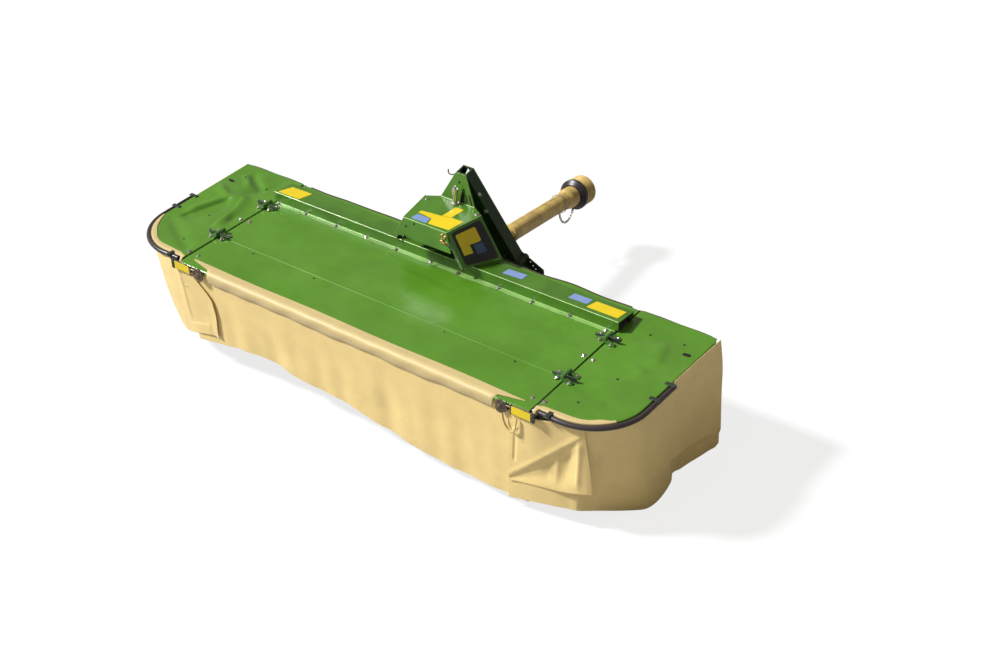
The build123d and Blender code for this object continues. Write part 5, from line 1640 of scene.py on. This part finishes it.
@dataclass
class LatchDress:
    """Perforated latch plates, their springs, the blank label plates and the strap."""

    shop: Workshop
    face_y: float = -0.5192
    spring_y: float = -0.514
    coil_step: float = 1.05
    holes: Table = ((0.985, 0.679, 0.0048), (1.002, 0.664, 0.004), (0.984, 0.638, 0.0048), (1.000, 0.627, 0.004))
    bolts: Table = ((0.990, 0.655, 0.018), (1.008, 0.684, 0.010), (1.010, 0.640, 0.010))
    pin_x: Pair = (1.018, 1.056)
    pin_z: Pair = (0.672, 0.648)
    label: Spots = ((1.058, 0.6425), (1.166, 0.6425), (1.166, 0.6875), (1.058, 0.6875))
    end_x: float = 1.178
    strap: Table = (
        (0.00, 1.004, 0.625), (0.20, 1.008, 0.590), (0.38, 1.020, 0.556), (0.52, 1.040, 0.535),
        (0.66, 1.062, 0.532), (0.82, 1.078, 0.556), (1.00, 1.086, 0.618),
    )

    def build(self) -> None:
        """Make the latch details of both sides and the strap."""
        for side, sign in SIDES.items():
            shape = bmesh.new()
            # Latch plate holes: dark discs of painted shade.
            for x, z, radius in self.holes:
                add_prism(shape, frame_of((sign * x, self.face_y, z), FORWARD), radius, -0.002, 0.0004, 14)
            self.shop.piece(f"latch_holes_{side}", shape, PAINTED_OPENING_SHADE)
            self._spring(side, sign)
            corners = [(sign * x, -0.5193, z) for x, z in self.label]
            self.shop.blank_plate(f"label_plate_{side}", YELLOW_PLATE, corners, 0.004, (0, -0.0012, 0))
            shape = bmesh.new()
            add_box(shape, Matrix.Translation((sign * self.end_x, -0.5165, 0.665)), (0.018, 0.011, 0.052))
            for z in (0.679, 0.651):
                add_prism(shape, frame_of((sign * self.end_x, -0.522, z), FORWARD), 0.004, 0.0, 0.003, 12, 0.8)
            self.shop.piece(f"label_end_{side}", shape, CLAMP_PAINT)
        # Strap in the darker cloth copy: painted shade.
        strap = self.shop.shell("latch_strap", self.strap_place, (60, 4), 0.0022, SUN_DIMMED_CLOTH)

    def _spring(self, side: str, sign: int) -> None:
        """Bolts, cheeks, pins and spring of one latch.

        Args:
            side: Name of the side.
            sign: Its direction across.
        """
        shape = bmesh.new()
        for x, z, size in self.bolts:
            add_bolt(shape, (sign * x, self.face_y, z), FORWARD, size)
        for x in (1.020, 1.052):
            add_box(shape, Matrix.Translation((sign * x, -0.5115, 0.660)), (0.004, 0.016, 0.054))
        for z in self.pin_z:
            add_tube(shape, [(sign * x, self.spring_y, z) for x in self.pin_x], 0.0055, 12)
        add_tube(shape, [
            (
                sign * (1.030 + 0.0015 * math.cos(k * self.coil_step)),
                self.spring_y + 0.0075 * math.sin(k * self.coil_step),
                0.648 + 0.0006 * k,
            )
            for k in range(40)
        ], 0.0014, 6)
        self.shop.piece(f"latch_spring_{side}", shape, LATCH_STEEL)

    def strap_place(self, s: float, t: float) -> Vector:
        """Middle surface of the strap that hangs in a loop under the right latch."""
        x, z = read_table(self.strap, s)
        return Vector((x, -0.5145 + 0.011 * (t - 0.5), z))


@dataclass
class CowlDress:
    """Panels, plates and fixings of the cowl, the riser and the triangle; the black flank panel is painted shade.
    """

    shop: Workshop
    riser_deg: float = 11.5
    leg_deg: float = -10.5
    flap_deg: float = 14
    flank_top: tuple[Point, Point] = ((0.142, 0.207, COWL_TOP), (0.188, 0.457, COWL_TOP))
    flank_low: tuple[Point, Point] = ((0.229, 0.230, 0.752), (0.346, 0.432, 0.752))
    corner: float = 0.12
    catch_bolts: Table = (
        (0.118, 0.938, 0.013), (0.138, 0.930, 0.013), (0.122, 0.905, 0.016), (0.150, 0.900, 0.012),
    )

    def build(self) -> None:
        """Make the cowl's details and those of the riser and triangle."""
        self._plates()
        for name, finish, box, lift in (
            # Black flank panel: painted shade.
            ("flank_shade_sheet", COWL_FLANK_PAINTED_SHADE, (0.10, 0.93, 0.07, 0.94), 0.0012),
            ("flank_plate_yellow", YELLOW_PLATE, (0.165, 0.715, 0.15, 0.485), 0.0030),
            ("flank_plate_yellow_foot", YELLOW_PLATE, (0.165, 0.40, 0.488, 0.69), 0.0030),
            ("flank_plate_blue", NAVY_PLATE, (0.48, 0.725, 0.51, 0.745), 0.0030),
        ):
            self._flank_plate(name, finish, box, lift)
        self._bolts()
        self._holes()
        self._catch_and_hooks()
        self._folds()

    def _plates(self) -> None:
        """Blank plates on the cowl's top."""
        for name, finish, corners in (
            ("cowl_plate_bar", YELLOW_PLATE, (
                (0.0058, 0.2272), (-0.0074, 0.2788), (-0.1081, 0.2929), (-0.1016, 0.3158),
                (0.0186, 0.3311), (0.0726, 0.3461), (0.1500, 0.3458), (0.1377, 0.2349),
            )),
            ("cowl_plate_stem", YELLOW_PLATE, (
                (0.0190, 0.3345), (0.0271, 0.4477), (0.0805, 0.4479), (0.0722, 0.3490),
            )),
            ("cowl_plate_blue", BLUE_PLATE, (
                (-0.1049, 0.2220), (-0.0990, 0.2770), (-0.0125, 0.2735), (-0.0030, 0.2245),
            )),
        ):
            self.shop.blank_plate(name, finish, [(x, y, COWL_TOP + 0.0001) for x, y in corners], 0.004)

    def flank(self, u: float, v: float) -> Vector:
        """Point on the cowl's right flank."""
        top, low = (Vector(front).lerp(Vector(rear), u) for front, rear in (self.flank_top, self.flank_low))
        return top.lerp(low, v)

    def _flank_plate(self, name: str, finish: Finish, box: tuple[float, float, float, float], lift: float) -> None:
        """Add a thin plate that follows the right flank.

        Args:
            name: Name of the piece.
            finish: Its finish.
            box: Its shares of the flank: front, rear, top and bottom.
            lift: Height of its middle off the flank.
        """
        front, rear, high, low = box

        def place(s: float, t: float) -> Vector:
            """Middle surface of the plate, with rounded corners.

            Args:
                s: Share from its front to its rear.
                t: Share from its top down.

            Returns:
                The point.
            """
            gap = min(t, 1 - t) / self.corner
            inset = 0.0 if gap >= 1 else 0.6 * self.corner * (1 - math.sqrt(1 - (1 - gap) ** 2))
            u = front + (rear - front) * (inset + (1 - 2 * inset) * s)
            v = high + (low - high) * t
            step = 0.01
            across = self.flank(u + step, v) - self.flank(u - step, v)
            down = self.flank(u, v + step) - self.flank(u, v - step)
            normal = down.cross(across).normalized()
            return self.flank(u, v) + normal * lift * (1 if normal.x > 0 else -1)

        self.shop.shell(name, place, (24, 48), 0.0014, finish, smooth_deg=30)

    def _bolts(self) -> None:
        """Bolts on the cowl's top and on the triangle's legs."""
        shape = bmesh.new()
        add_bolt(shape, (0.165, 0.445, COWL_TOP), UP, 0.017)
        add_bolt(shape, (-0.155, 0.430, COWL_TOP), UP, 0.015)
        for x, z in ((0.134, 0.909), (-0.134, 0.909), (0.108, 1.012)):
            y = 0.537 + (1.115 - z) * math.tan(math.radians(-self.leg_deg))
            add_bolt(shape, Vector((x, y, z)), leaning(self.leg_deg))
        self.shop.piece("headstock_bolts", shape, BOLT_ZINC)

    def _holes(self) -> None:
        """Hole and slots of the riser and holes of the cowl's flap."""
        # Dark plates of painted shade stand for the hole and slots.
        shape = bmesh.new()
        lean = leaning(self.riser_deg)
        add_prism(shape, frame_of((-0.002, riser_face(1.068), 1.068), lean), 0.0075, -0.002, 0.0005, 20)
        for x, z, turn, length, width in ((0.030, 1.000, 90, 0.085, 0.020), (0.083, 0.988, 115, 0.062, 0.010)):
            place = frame_of(Vector((x, riser_face(z), z)), lean, math.radians(turn))
            add_slot(shape, place, length, width, 0.0006)
        for x, z in ((-0.119, 0.914), (-0.068, 0.940)):
            add_prism(shape, frame_of((x, flap_face(z), z), leaning(self.flap_deg)), 0.0065, -0.002, 0.0005, 18)
        self.shop.piece("headstock_holes", shape, PAINTED_OPENING_SHADE)

    def _catch_and_hooks(self) -> None:
        """Catch of the cowl's flap, its hook and the hook at the riser's top."""
        shape = bmesh.new()
        for x, z, size in self.catch_bolts:
            add_bolt(shape, Vector((x, flap_face(z), z)), leaning(self.flap_deg), size)
        start = Vector((0.132, flap_face(0.915) - 0.004, 0.915))
        bends = ((0.0, 0.0, 0.0), (0.004, -0.016, 0.003), (0.020, -0.020, -0.004), (0.030, -0.012, -0.016))
        add_tube(shape, [start + Vector(bend) for bend in bends], 0.0042)
        self.shop.piece("flap_catch", shape, BRASS)
        shape = bmesh.new()
        start = Vector((-0.119, flap_face(0.862), 0.862))
        bends = ((0.0, 0.0, 0.0), (0.0, -0.018, 0.001), (0.004, -0.026, -0.012), (0.006, -0.024, -0.030))
        add_tube(shape, [start + Vector(bend) for bend in bends], 0.004)
        tip = ((-0.040, 0.540, 1.098), (-0.075, 0.545, 1.082), (-0.097, 0.552, 1.082), (-0.099, 0.553, 1.104))
        add_tube(shape, tip, 0.0036, 8)
        self.shop.piece("headstock_hooks", shape, CLAMP_PAINT, smooth_deg=40)

    def _folds(self) -> None:
        """Rolled folds along the cowl's top edges, the flap's hinge line and the riser's foot, in lighter greens
        that are painted highlights.
        """
        shape = bmesh.new()
        for sign in SIDES.values():
            side = ((0.1425, 0.2072, 0.9565), (0.165, 0.332, 0.9568), (0.1882, 0.457, 0.9565))
            add_tube(shape, [(sign * x, y, z) for x, y, z in side], 0.0026)
        hinge = ((-0.1425, 0.2068, 0.9562), (0.0, 0.2066, 0.9566), (0.1425, 0.2068, 0.9562))
        add_tube(shape, hinge, 0.0028)
        self.shop.piece("cowl_folds", shape, PAINTED_HIGHLIGHT_GREEN, smooth_deg=60)
        # Pale tube along the riser's foot: a painted highlight.
        shape = bmesh.new()
        add_tube(shape, [(x, 0.4995, 0.9585) for x in (-0.110, 0.0, 0.110)], 0.0026)
        self.shop.piece("riser_base_painted_highlight", shape, PAINTED_HIGHLIGHT_FOLD, smooth_deg=60)


@dataclass
class BarDress:
    """Fixings of the cutterbar, the rotors and the knives."""

    shop: Workshop
    hub_z: float = 0.098
    disc_top: float = 0.1503
    knife_z: float = 0.0943
    knife_reach: float = 0.158

    def build(self) -> None:
        """Make the bar's bolts, then each rotor's cap nut and knife bolts."""
        shape = bmesh.new()
        for index in range(ROTORS):
            middle = rotor_x(index)
            for x, y in ring_points(0.058, 8, 0.5):
                add_bolt(shape, (middle + x, y, self.hub_z), UP, 0.010)
            for x in (-0.06, 0.06):
                add_bolt(shape, (middle + x, 0.150, 0.040), BACK, 0.020)
        self.shop.piece("cutterbar_bolts", shape, BOLT_ZINC)
        for index in range(ROTORS):
            self._rotor(index)

    def _rotor(self, index: int) -> None:
        """Cap nut, wear ring and knife bolts of one rotor; the two end drums have knife bolts only.

        Args:
            index: Which rotor, counted from the left.
        """
        middle = rotor_x(index)
        shape = bmesh.new()
        if index not in (0, ROTORS - 1):
            place = Matrix.Translation((middle, 0.0, self.disc_top))
            add_prism(shape, place, 0.030, -0.001, 0.006, 28, 0.94)
            add_prism(shape, place, 0.019, 0.006, 0.020, 6)
            for x, y in ring_points(0.047, 6):
                add_bolt(shape, (middle + x, y, self.disc_top), UP, 0.011)
        for reach in (-self.knife_reach, self.knife_reach):
            x, y = (reach, 0.0) if index % 2 == 0 else (0.0, reach)
            add_bolt(shape, (middle + x, y, self.knife_z), DOWN, 0.022)
        self.shop.piece(f"rotor_bolts_{index + 1}", shape, BOLT_ZINC, f"rotor_{index + 1}")


@dataclass
class GearDress:
    """Flange, ribs and bolts of the gearbox and the bevel housing."""

    shop: Workshop
    rear_y: float = 0.560
    joint_z: float = 0.540
    bolt_circle: float = 0.060
    housing_top: float = 0.590

    def build(self) -> None:
        """Make the drive's details."""
        shape = bmesh.new()
        place = frame_of((0, self.rear_y, self.joint_z), BACK)
        add_prism(shape, place, 0.072, -0.002, 0.010, 40, 0.97)
        add_prism(shape, place, 0.046, 0.010, 0.022, 36, 0.9)
        for x, z in ring_points(self.bolt_circle, 8):
            add_bolt(shape, (x, self.rear_y + 0.010, self.joint_z + z), BACK, 0.013)
        for x in (-0.104, -0.036, 0.036, 0.104):
            for z in (0.456, 0.590):
                add_bolt(shape, (x, self.rear_y, z), BACK, 0.014)
        for sign in SIDES.values():
            for y in (0.250, 0.330, 0.410, 0.490):
                add_box(shape, Matrix.Translation((sign * 0.1325, y, 0.520)), (0.009, 0.010, 0.110))
        self.shop.piece("gearbox_flange", shape, CASTING)
        shape = bmesh.new()
        for x, y in ring_points(self.bolt_circle, 9):
            add_bolt(shape, (rotor_x(0) + x, SIDE_BOX_Y + y, self.housing_top), UP, 0.012)
        self.shop.piece("bevel_housing_bolts", shape, BOLT_ZINC)


@dataclass
class DeckSheet:
    """Deck sheet with its pressed crease, faint waves and shallow dents."""

    shop: Workshop
    half: float = 1.143
    sheet: float = 0.004
    rear_y: float = 0.2797
    stiff_front: Pair = (-0.487, -0.45)
    profile: Table = (
        (0.000, 0.2797, 0.6830), (0.464, -0.1840, 0.6800), (0.766, -0.4870, 0.6790), (0.7765, -0.4964, 0.6760),
        (0.7845, -0.5006, 0.6695), (0.7965, -0.5010, 0.6580),
    )
    knots: Spots = (
        (0.0, 0.0), (0.30, 0.55), (0.46, 0.575), (0.50, 0.5825), (0.54, 0.590), (0.60, 0.62),
        (0.84, 0.955), (1.0, 1.0),
    )
    dents: tuple[Fold, ...] = (
        Fold((-0.120, 0.176), (0.210, 0.128), -0.0030, 0.022, 0.045, 0.05),
        Fold((-0.100, 0.130), (0.230, 0.090), 0.0016, 0.030, 0.030, 0.05),
        Fold((0.285, 0.175), (0.328, 0.094), -0.0022, 0.018, 0.030, 0.03),
        Fold((-0.700, 0.050), (-0.450, 0.160), -0.0012, 0.060, 0.060, 0.08),
        Fold((0.600, -0.020), (0.820, 0.100), -0.0012, 0.060, 0.060, 0.08),
        Fold((-0.960, 0.080), (-0.930, 0.210), 0.0014, 0.040, 0.040, 0.06),
    )
    crease: Fold = Fold((-1.095, CREASE_Y), (1.095, CREASE_Y), 0.0036, 0.0045, 0.0032, 0.02)

    def place(self, s: float, t: float) -> Vector:
        """Middle surface of the sheet.

        Args:
            s: Share across, from the left.
            t: Share of its length, from the beam to the front hem.

        Returns:
            The point.
        """
        x = self.half * (2 * s - 1)
        distance = self.profile[-1][0] * self._between(self.knots, t)[0]
        flat, front_round = self.profile[:3], self.profile[2:]
        y, z = self._between(flat, distance) if distance < flat[-1][0] else read_table(front_round, distance)
        inside = smooth(self.rear_y - y, 0.0, 0.04) * smooth(y, *self.stiff_front)
        inside *= smooth(self.half - abs(x), 0.0, 0.05)
        raised = sum(dent.at(x, y) for dent in self.dents) + self.crease.at(x, y)
        raised += 0.0011 * noise.noise(Vector((x * 3.4, y * 5.0, 9.0)))
        return Vector((x, y, z + raised * inside))

    @staticmethod
    def _between(table: Table, at: float) -> list[float]:
        """Read rows of (place, values) along straight lines between the rows.

        Args:
            table: Rows sorted by place.
            at: The place to read.

        Returns:
            The values there.
        """
        k = next(i for i in range(len(table) - 1) if at <= table[i + 1][0])
        u = (at - table[k][0]) / (table[k + 1][0] - table[k][0])
        return [first + (second - first) * u for first, second in zip(table[k][1:], table[k + 1][1:])]

    def build(self) -> None:
        """Make the sheet in place of its plain solid."""
        piece = self.shop.shell("pressed_deck", self.place, (240, 100), self.sheet, GREEN, smooth_deg=40)
        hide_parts("deck")


@dataclass
class RearEdge:
    """Wavy rear strip of the deck, its rubber piping and its seals."""

    shop: Workshop
    half: float = 1.143
    sheet: float = 0.003
    piping: float = 0.0034
    piping_z: float = 0.6800
    profile: Table = (
        (0.0, 0.4340, 0.6840), (0.40, 0.4900, 0.6812), (0.66, 0.5200, 0.6790), (0.74, 0.5285, 0.6735),
        (0.80, 0.5300, 0.6655), (1.0, 0.5300, 0.6535),
    )

    def place(self, s: float, t: float) -> Vector:
        """Middle surface of the strip.

        Args:
            s: Share across, from the left.
            t: Share of its width, from the beam to the hem.

        Returns:
            The point.
        """
        x = self.half * (2 * s - 1)
        y, z = read_table(self.profile, t)
        free = smooth(t, 0.15, 0.66) * smooth(self.half - abs(x), 0.0, 0.06)
        wave = 0.5 * math.sin(x * 9.5 + 0.4) + 0.35 * math.sin(x * 17.0 + 2.0)
        wave += 0.9 * noise.noise(Vector((x * 4.0, 7.0, 0.0)))
        return Vector((x, y + 0.004 * wave * free, z + 0.0055 * wave * free))

    def build(self) -> None:
        """Make the strip in place of its plain solid, and the rubber."""
        strip = self.shop.shell("rear_strip_sheet", self.place, (260, 24), self.sheet, GREEN, smooth_deg=40)
        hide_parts("rear_strip")
        route = [self.place(0.02 + 0.96 * k / 120, 0.69) + Vector((0.0, 0.0045, 0.0015)) for k in range(121)]
        self._pipe("rear_piping", route, "frame")
        shape = bmesh.new()
        for sign in SIDES.values():
            add_box(shape, Matrix.Translation((sign * 1.1452, 0.470, 0.6765)), (0.0125, 0.120, 0.003))
        self.shop.piece("rear_seam_seals", shape, EDGE_RUBBER, smooth_deg=40)
        bend = PLAN.rear_y + 0.001
        for side, sign in SIDES.items():
            run = [(x, bend + 0.002 * math.sin(x * 31.0)) for x in (1.17, 1.27, 1.38, 1.49, 1.555)]
            route = [(sign * x, y, self.piping_z) for x, y in (*run, (1.592, bend - 0.010))]
            self._pipe(f"guard_piping_{side}", route, f"guard_{side}")

    def _pipe(self, name: str, route: Line, body: str) -> None:
        """Add rubber piping along a hem.

        Args:
            name: Name of the piece.
            route: Points on its centreline.
            body: The body that it rides on.
        """
        shape = bmesh.new()
        add_tube(shape, route, self.piping, 8)
        self.shop.piece(name, shape, EDGE_RUBBER, body, 40)


@dataclass
class GuardTubeDress:
    """Moulded ribs and clip of the drive shaft's plastic guard."""

    shop: Workshop
    joint: Point = (0.0, 0.660, 0.540)
    drop_deg: float = 5.3
    rib_places: tuple[float, ...] = (0.338, 0.352, 0.905, 0.917)
    rib_radii: Pair = (0.0515, 0.0545)
    clip_place: float = 0.872
    clip_radius: float = 0.0580

    def along(self, distance: float) -> Vector:
        """Point on the shaft's axis at a distance from its inner joint."""
        drop = math.radians(self.drop_deg)
        return Vector(self.joint) + Vector((0.0, math.cos(drop), -math.sin(drop))) * distance

    def build(self) -> None:
        """Make the ribs and the clip."""
        axis = self.along(1.0) - self.along(0.0)
        shape = bmesh.new()
        for distance in self.rib_places:
            add_ring(shape, frame_of(self.along(distance), axis), *self.rib_radii, 0.007, 40)
        for k in range(3):
            off = Matrix.Rotation(math.tau * k / 3 + 0.4, 3, axis) @ Vector((0.0525, 0.0, 0.0))
            add_tube(shape, [self.along(distance) + off for distance in (0.36, 0.62, 0.90)], 0.0016, 8)
        self.shop.piece("guard_tube_ribs", shape, GUARD_PLASTIC, "shaft_slide", 40)
        shape = bmesh.new()
        ring = ring_points(self.clip_radius, 28)
        tilt = Matrix.Rotation(-math.radians(self.drop_deg), 3, "X")
        middle = self.along(self.clip_place)
        add_tube(shape, [middle + tilt @ Vector((x, 0.0, z)) for x, z in (*ring, ring[0])], 0.0022, 8)
        self.shop.piece("guard_tube_clip", shape, BOLT_ZINC, "shaft_slide", 40)


@dataclass
class Studio:
    """Floor, lights and the camera of the photograph."""

    eye: Point = (4.0263, -4.8525, 4.8124)
    azimuth: float = 0.61064
    elevation: float = 0.61484
    lens_mm: float = 51.13
    sensor_mm: float = 36.0
    sun_from: Point = (-0.93, -0.62, 1.05)
    sun_power: float = 4.75
    fill_from: Point = (-2.5, -6.0, 3.0)
    fill_power: float = 12.0
    sky_colour: Colour = (1.0, 0.93, 0.84)
    sky_power: float = 0.25
    floor_size: float = 30.0
    floor_colour: Colour = (0.92, 0.92, 0.92)
    floor_bounce: float = 0.42
    floor_glow: float = 0.8

    def build(self) -> None:
        """Make the camera, the lights and the floor."""
        self._camera()
        self._lights()
        self._floor()

    @staticmethod
    def _set_up(name: str, data: bpy.types.ID, matrix: Matrix) -> bpy.types.Object:
        """Add an object to the scene.

        Args:
            name: Name of the object.
            data: Its camera, light or mesh.
            matrix: Its placing.

        Returns:
            The new object.
        """
        made = bpy.data.objects.new(name, data)
        made.matrix_world = matrix
        bpy.context.scene.collection.objects.link(made)
        return made

    def _camera(self) -> None:
        """Camera at the photograph's place and angle."""
        back = Vector((
            math.sin(self.azimuth) * math.cos(self.elevation),
            -math.cos(self.azimuth) * math.cos(self.elevation),
            math.sin(self.elevation),
        ))
        right = Vector((math.cos(self.azimuth), math.sin(self.azimuth), 0.0))
        turn = Matrix((right, back.cross(right), back)).transposed().to_4x4()
        camera = self._set_up("camera", bpy.data.cameras.new("camera"), Matrix.Translation(self.eye) @ turn)
        camera.data.lens = self.lens_mm
        camera.data.sensor_width = self.sensor_mm
        camera.data.clip_end = 60.0
        bpy.context.scene.camera = camera

    def _lights(self) -> None:
        """Soft sun from the front left, a broad fill and an even sky."""
        scene = bpy.context.scene
        scene.view_settings.view_transform = "Standard"
        sun = self._set_up("sun", bpy.data.lights.new("sun", "SUN"), frame_of((0, 0, 4), self.sun_from))
        sun.data.energy = self.sun_power
        sun.data.angle = math.radians(6)
        aim = frame_of(self.fill_from, (-2.5, -6.0, 2.6))
        fill = self._set_up("fill", bpy.data.lights.new("fill", "AREA"), aim)
        fill.data.energy = self.fill_power
        fill.data.size = 4.0
        scene.world = bpy.data.worlds.new("studio")
        scene.world.use_nodes = True
        wiring = Wiring(scene.world.node_tree)
        seen = wiring.add("LightPath").outputs["Is Camera Ray"]
        wiring.feed(wiring.tree.nodes["Background"], {
            "Color": wiring.blend(seen, self.sky_colour, (1.0, 1.0, 1.0)),
            "Strength": wiring.math("MULTIPLY_ADD", seen, 1.0 - self.sky_power, self.sky_power),
        })

    def _floor(self) -> None:
        """Plain pale floor that keeps a soft shadow."""
        shape = bmesh.new()
        bmesh.ops.create_grid(shape, x_segments=1, y_segments=1, size=self.floor_size)
        mesh = bpy.data.meshes.new("floor")
        shape.to_mesh(mesh)
        shape.free()
        floor = self._set_up("floor", mesh, Matrix.Identity(4))
        material = bpy.data.materials.new("pale_floor")
        material.use_nodes = True
        wiring = Wiring(material.node_tree)
        nodes = wiring.tree.nodes
        seen = wiring.add("LightPath").outputs["Is Camera Ray"]
        colour = wiring.blend(seen, (self.floor_bounce,) * 3, self.floor_colour)
        shader = wiring.feed(nodes["Principled BSDF"], {"Base Color": colour, "Roughness": 0.9})
        share = wiring.math("MULTIPLY", seen, self.floor_glow)
        shaders = {0: share, 1: shader.outputs[0], 2: wiring.add("Emission").outputs[0]}
        mix = wiring.feed(wiring.add("MixShader"), shaders)
        wiring.feed(nodes["Material Output"], {"Surface": mix.outputs[0]})
        mesh.materials.append(material)


FINISHED_NODES: tuple[tuple[Finish, tuple[str, ...]], ...] = (
    (GREEN, ("deck", "rear_strip", "side_cover_")),
    (DARK_GREEN, ("hangers", "guard_frame", "hinge_brackets", "shaft_rest", "stand_brackets", "side_frame_")),
    # Beam, cowl and riser: the deck green darkened as painted shade.
    (HEADSTOCK_SHADED_GREEN, ("cross_beam", "headstock_cowl", "headstock_riser")),
    # Coupling triangle and arms: painted shade.
    (TRIANGLE_PAINTED_SHADE, ("coupling_triangle", "headstock_arms")),
    (STAND_PAINT, ("stand_left", "stand_right")),
    (BAR_PAINT, ("cutterbar",)),
    (DISC_PAINT, ("disc_", "drum_")),
    (KNIFE_STEEL, ("knives_",)),
    (SKID_STEEL, ("skids", "guard_chain")),
    (CLOTH, ("front_curtain", "corner_curtain_")),
    (LATCH_STEEL, ("latches",)),
    (BOLT_ZINC, ("coupling_latch",)),
    (CASTING, ("gearbox", "side_drive")),
    (SHAFT_STEEL, ("input_joint", "inner_shaft", "outer_shaft")),
    (GUARD_PLASTIC, ("inner_guard_tube", "outer_guard_tube", "guard_bell")),
    (RING_PLASTIC, ("guard_ring",)),
    (CLAMP_PAINT, ("bumper_clamps_",)),
    (TUBE_PLASTIC, ("bumper_left", "bumper_right")),
)


def finish_of(node: str) -> Finish:
    """Finish of a CAD node; a listed name that ends in _ stands for all that start with it.

    Args:
        node: Name of the node.

    Returns:
        Its finish.
    """
    return next(
        finish for finish, names in FINISHED_NODES for name in names
        if node == name or (name.endswith("_") and node.startswith(name))
    )


def dress_frame(paint: PaintShop) -> None:
    """Give every CAD node its finish."""
    for node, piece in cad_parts.items():
        paint.dress(piece, finish_of(node))


def main() -> None:
    """Build every sub-assembly in order."""
    logging.basicConfig(level=logging.INFO, format="%(name)s: %(message)s")
    Studio().build()
    paint = PaintShop()
    dress_frame(paint)
    shop = Workshop(paint)
    for cloth in (FrontCurtain, EdgeRoll):
        cloth(shop).build()
    for side in SIDES:
        for part in (CornerCurtain, SideCover, GuardBand):
            part(shop, side).build()
    for dress in (
        DeckSheet, RearEdge, BeamDress, Fasteners, LatchDress, CowlDress, BarDress, GearDress, GuardTubeDress,
    ):
        dress(shop).build()


if __name__ == "__main__":
    main()
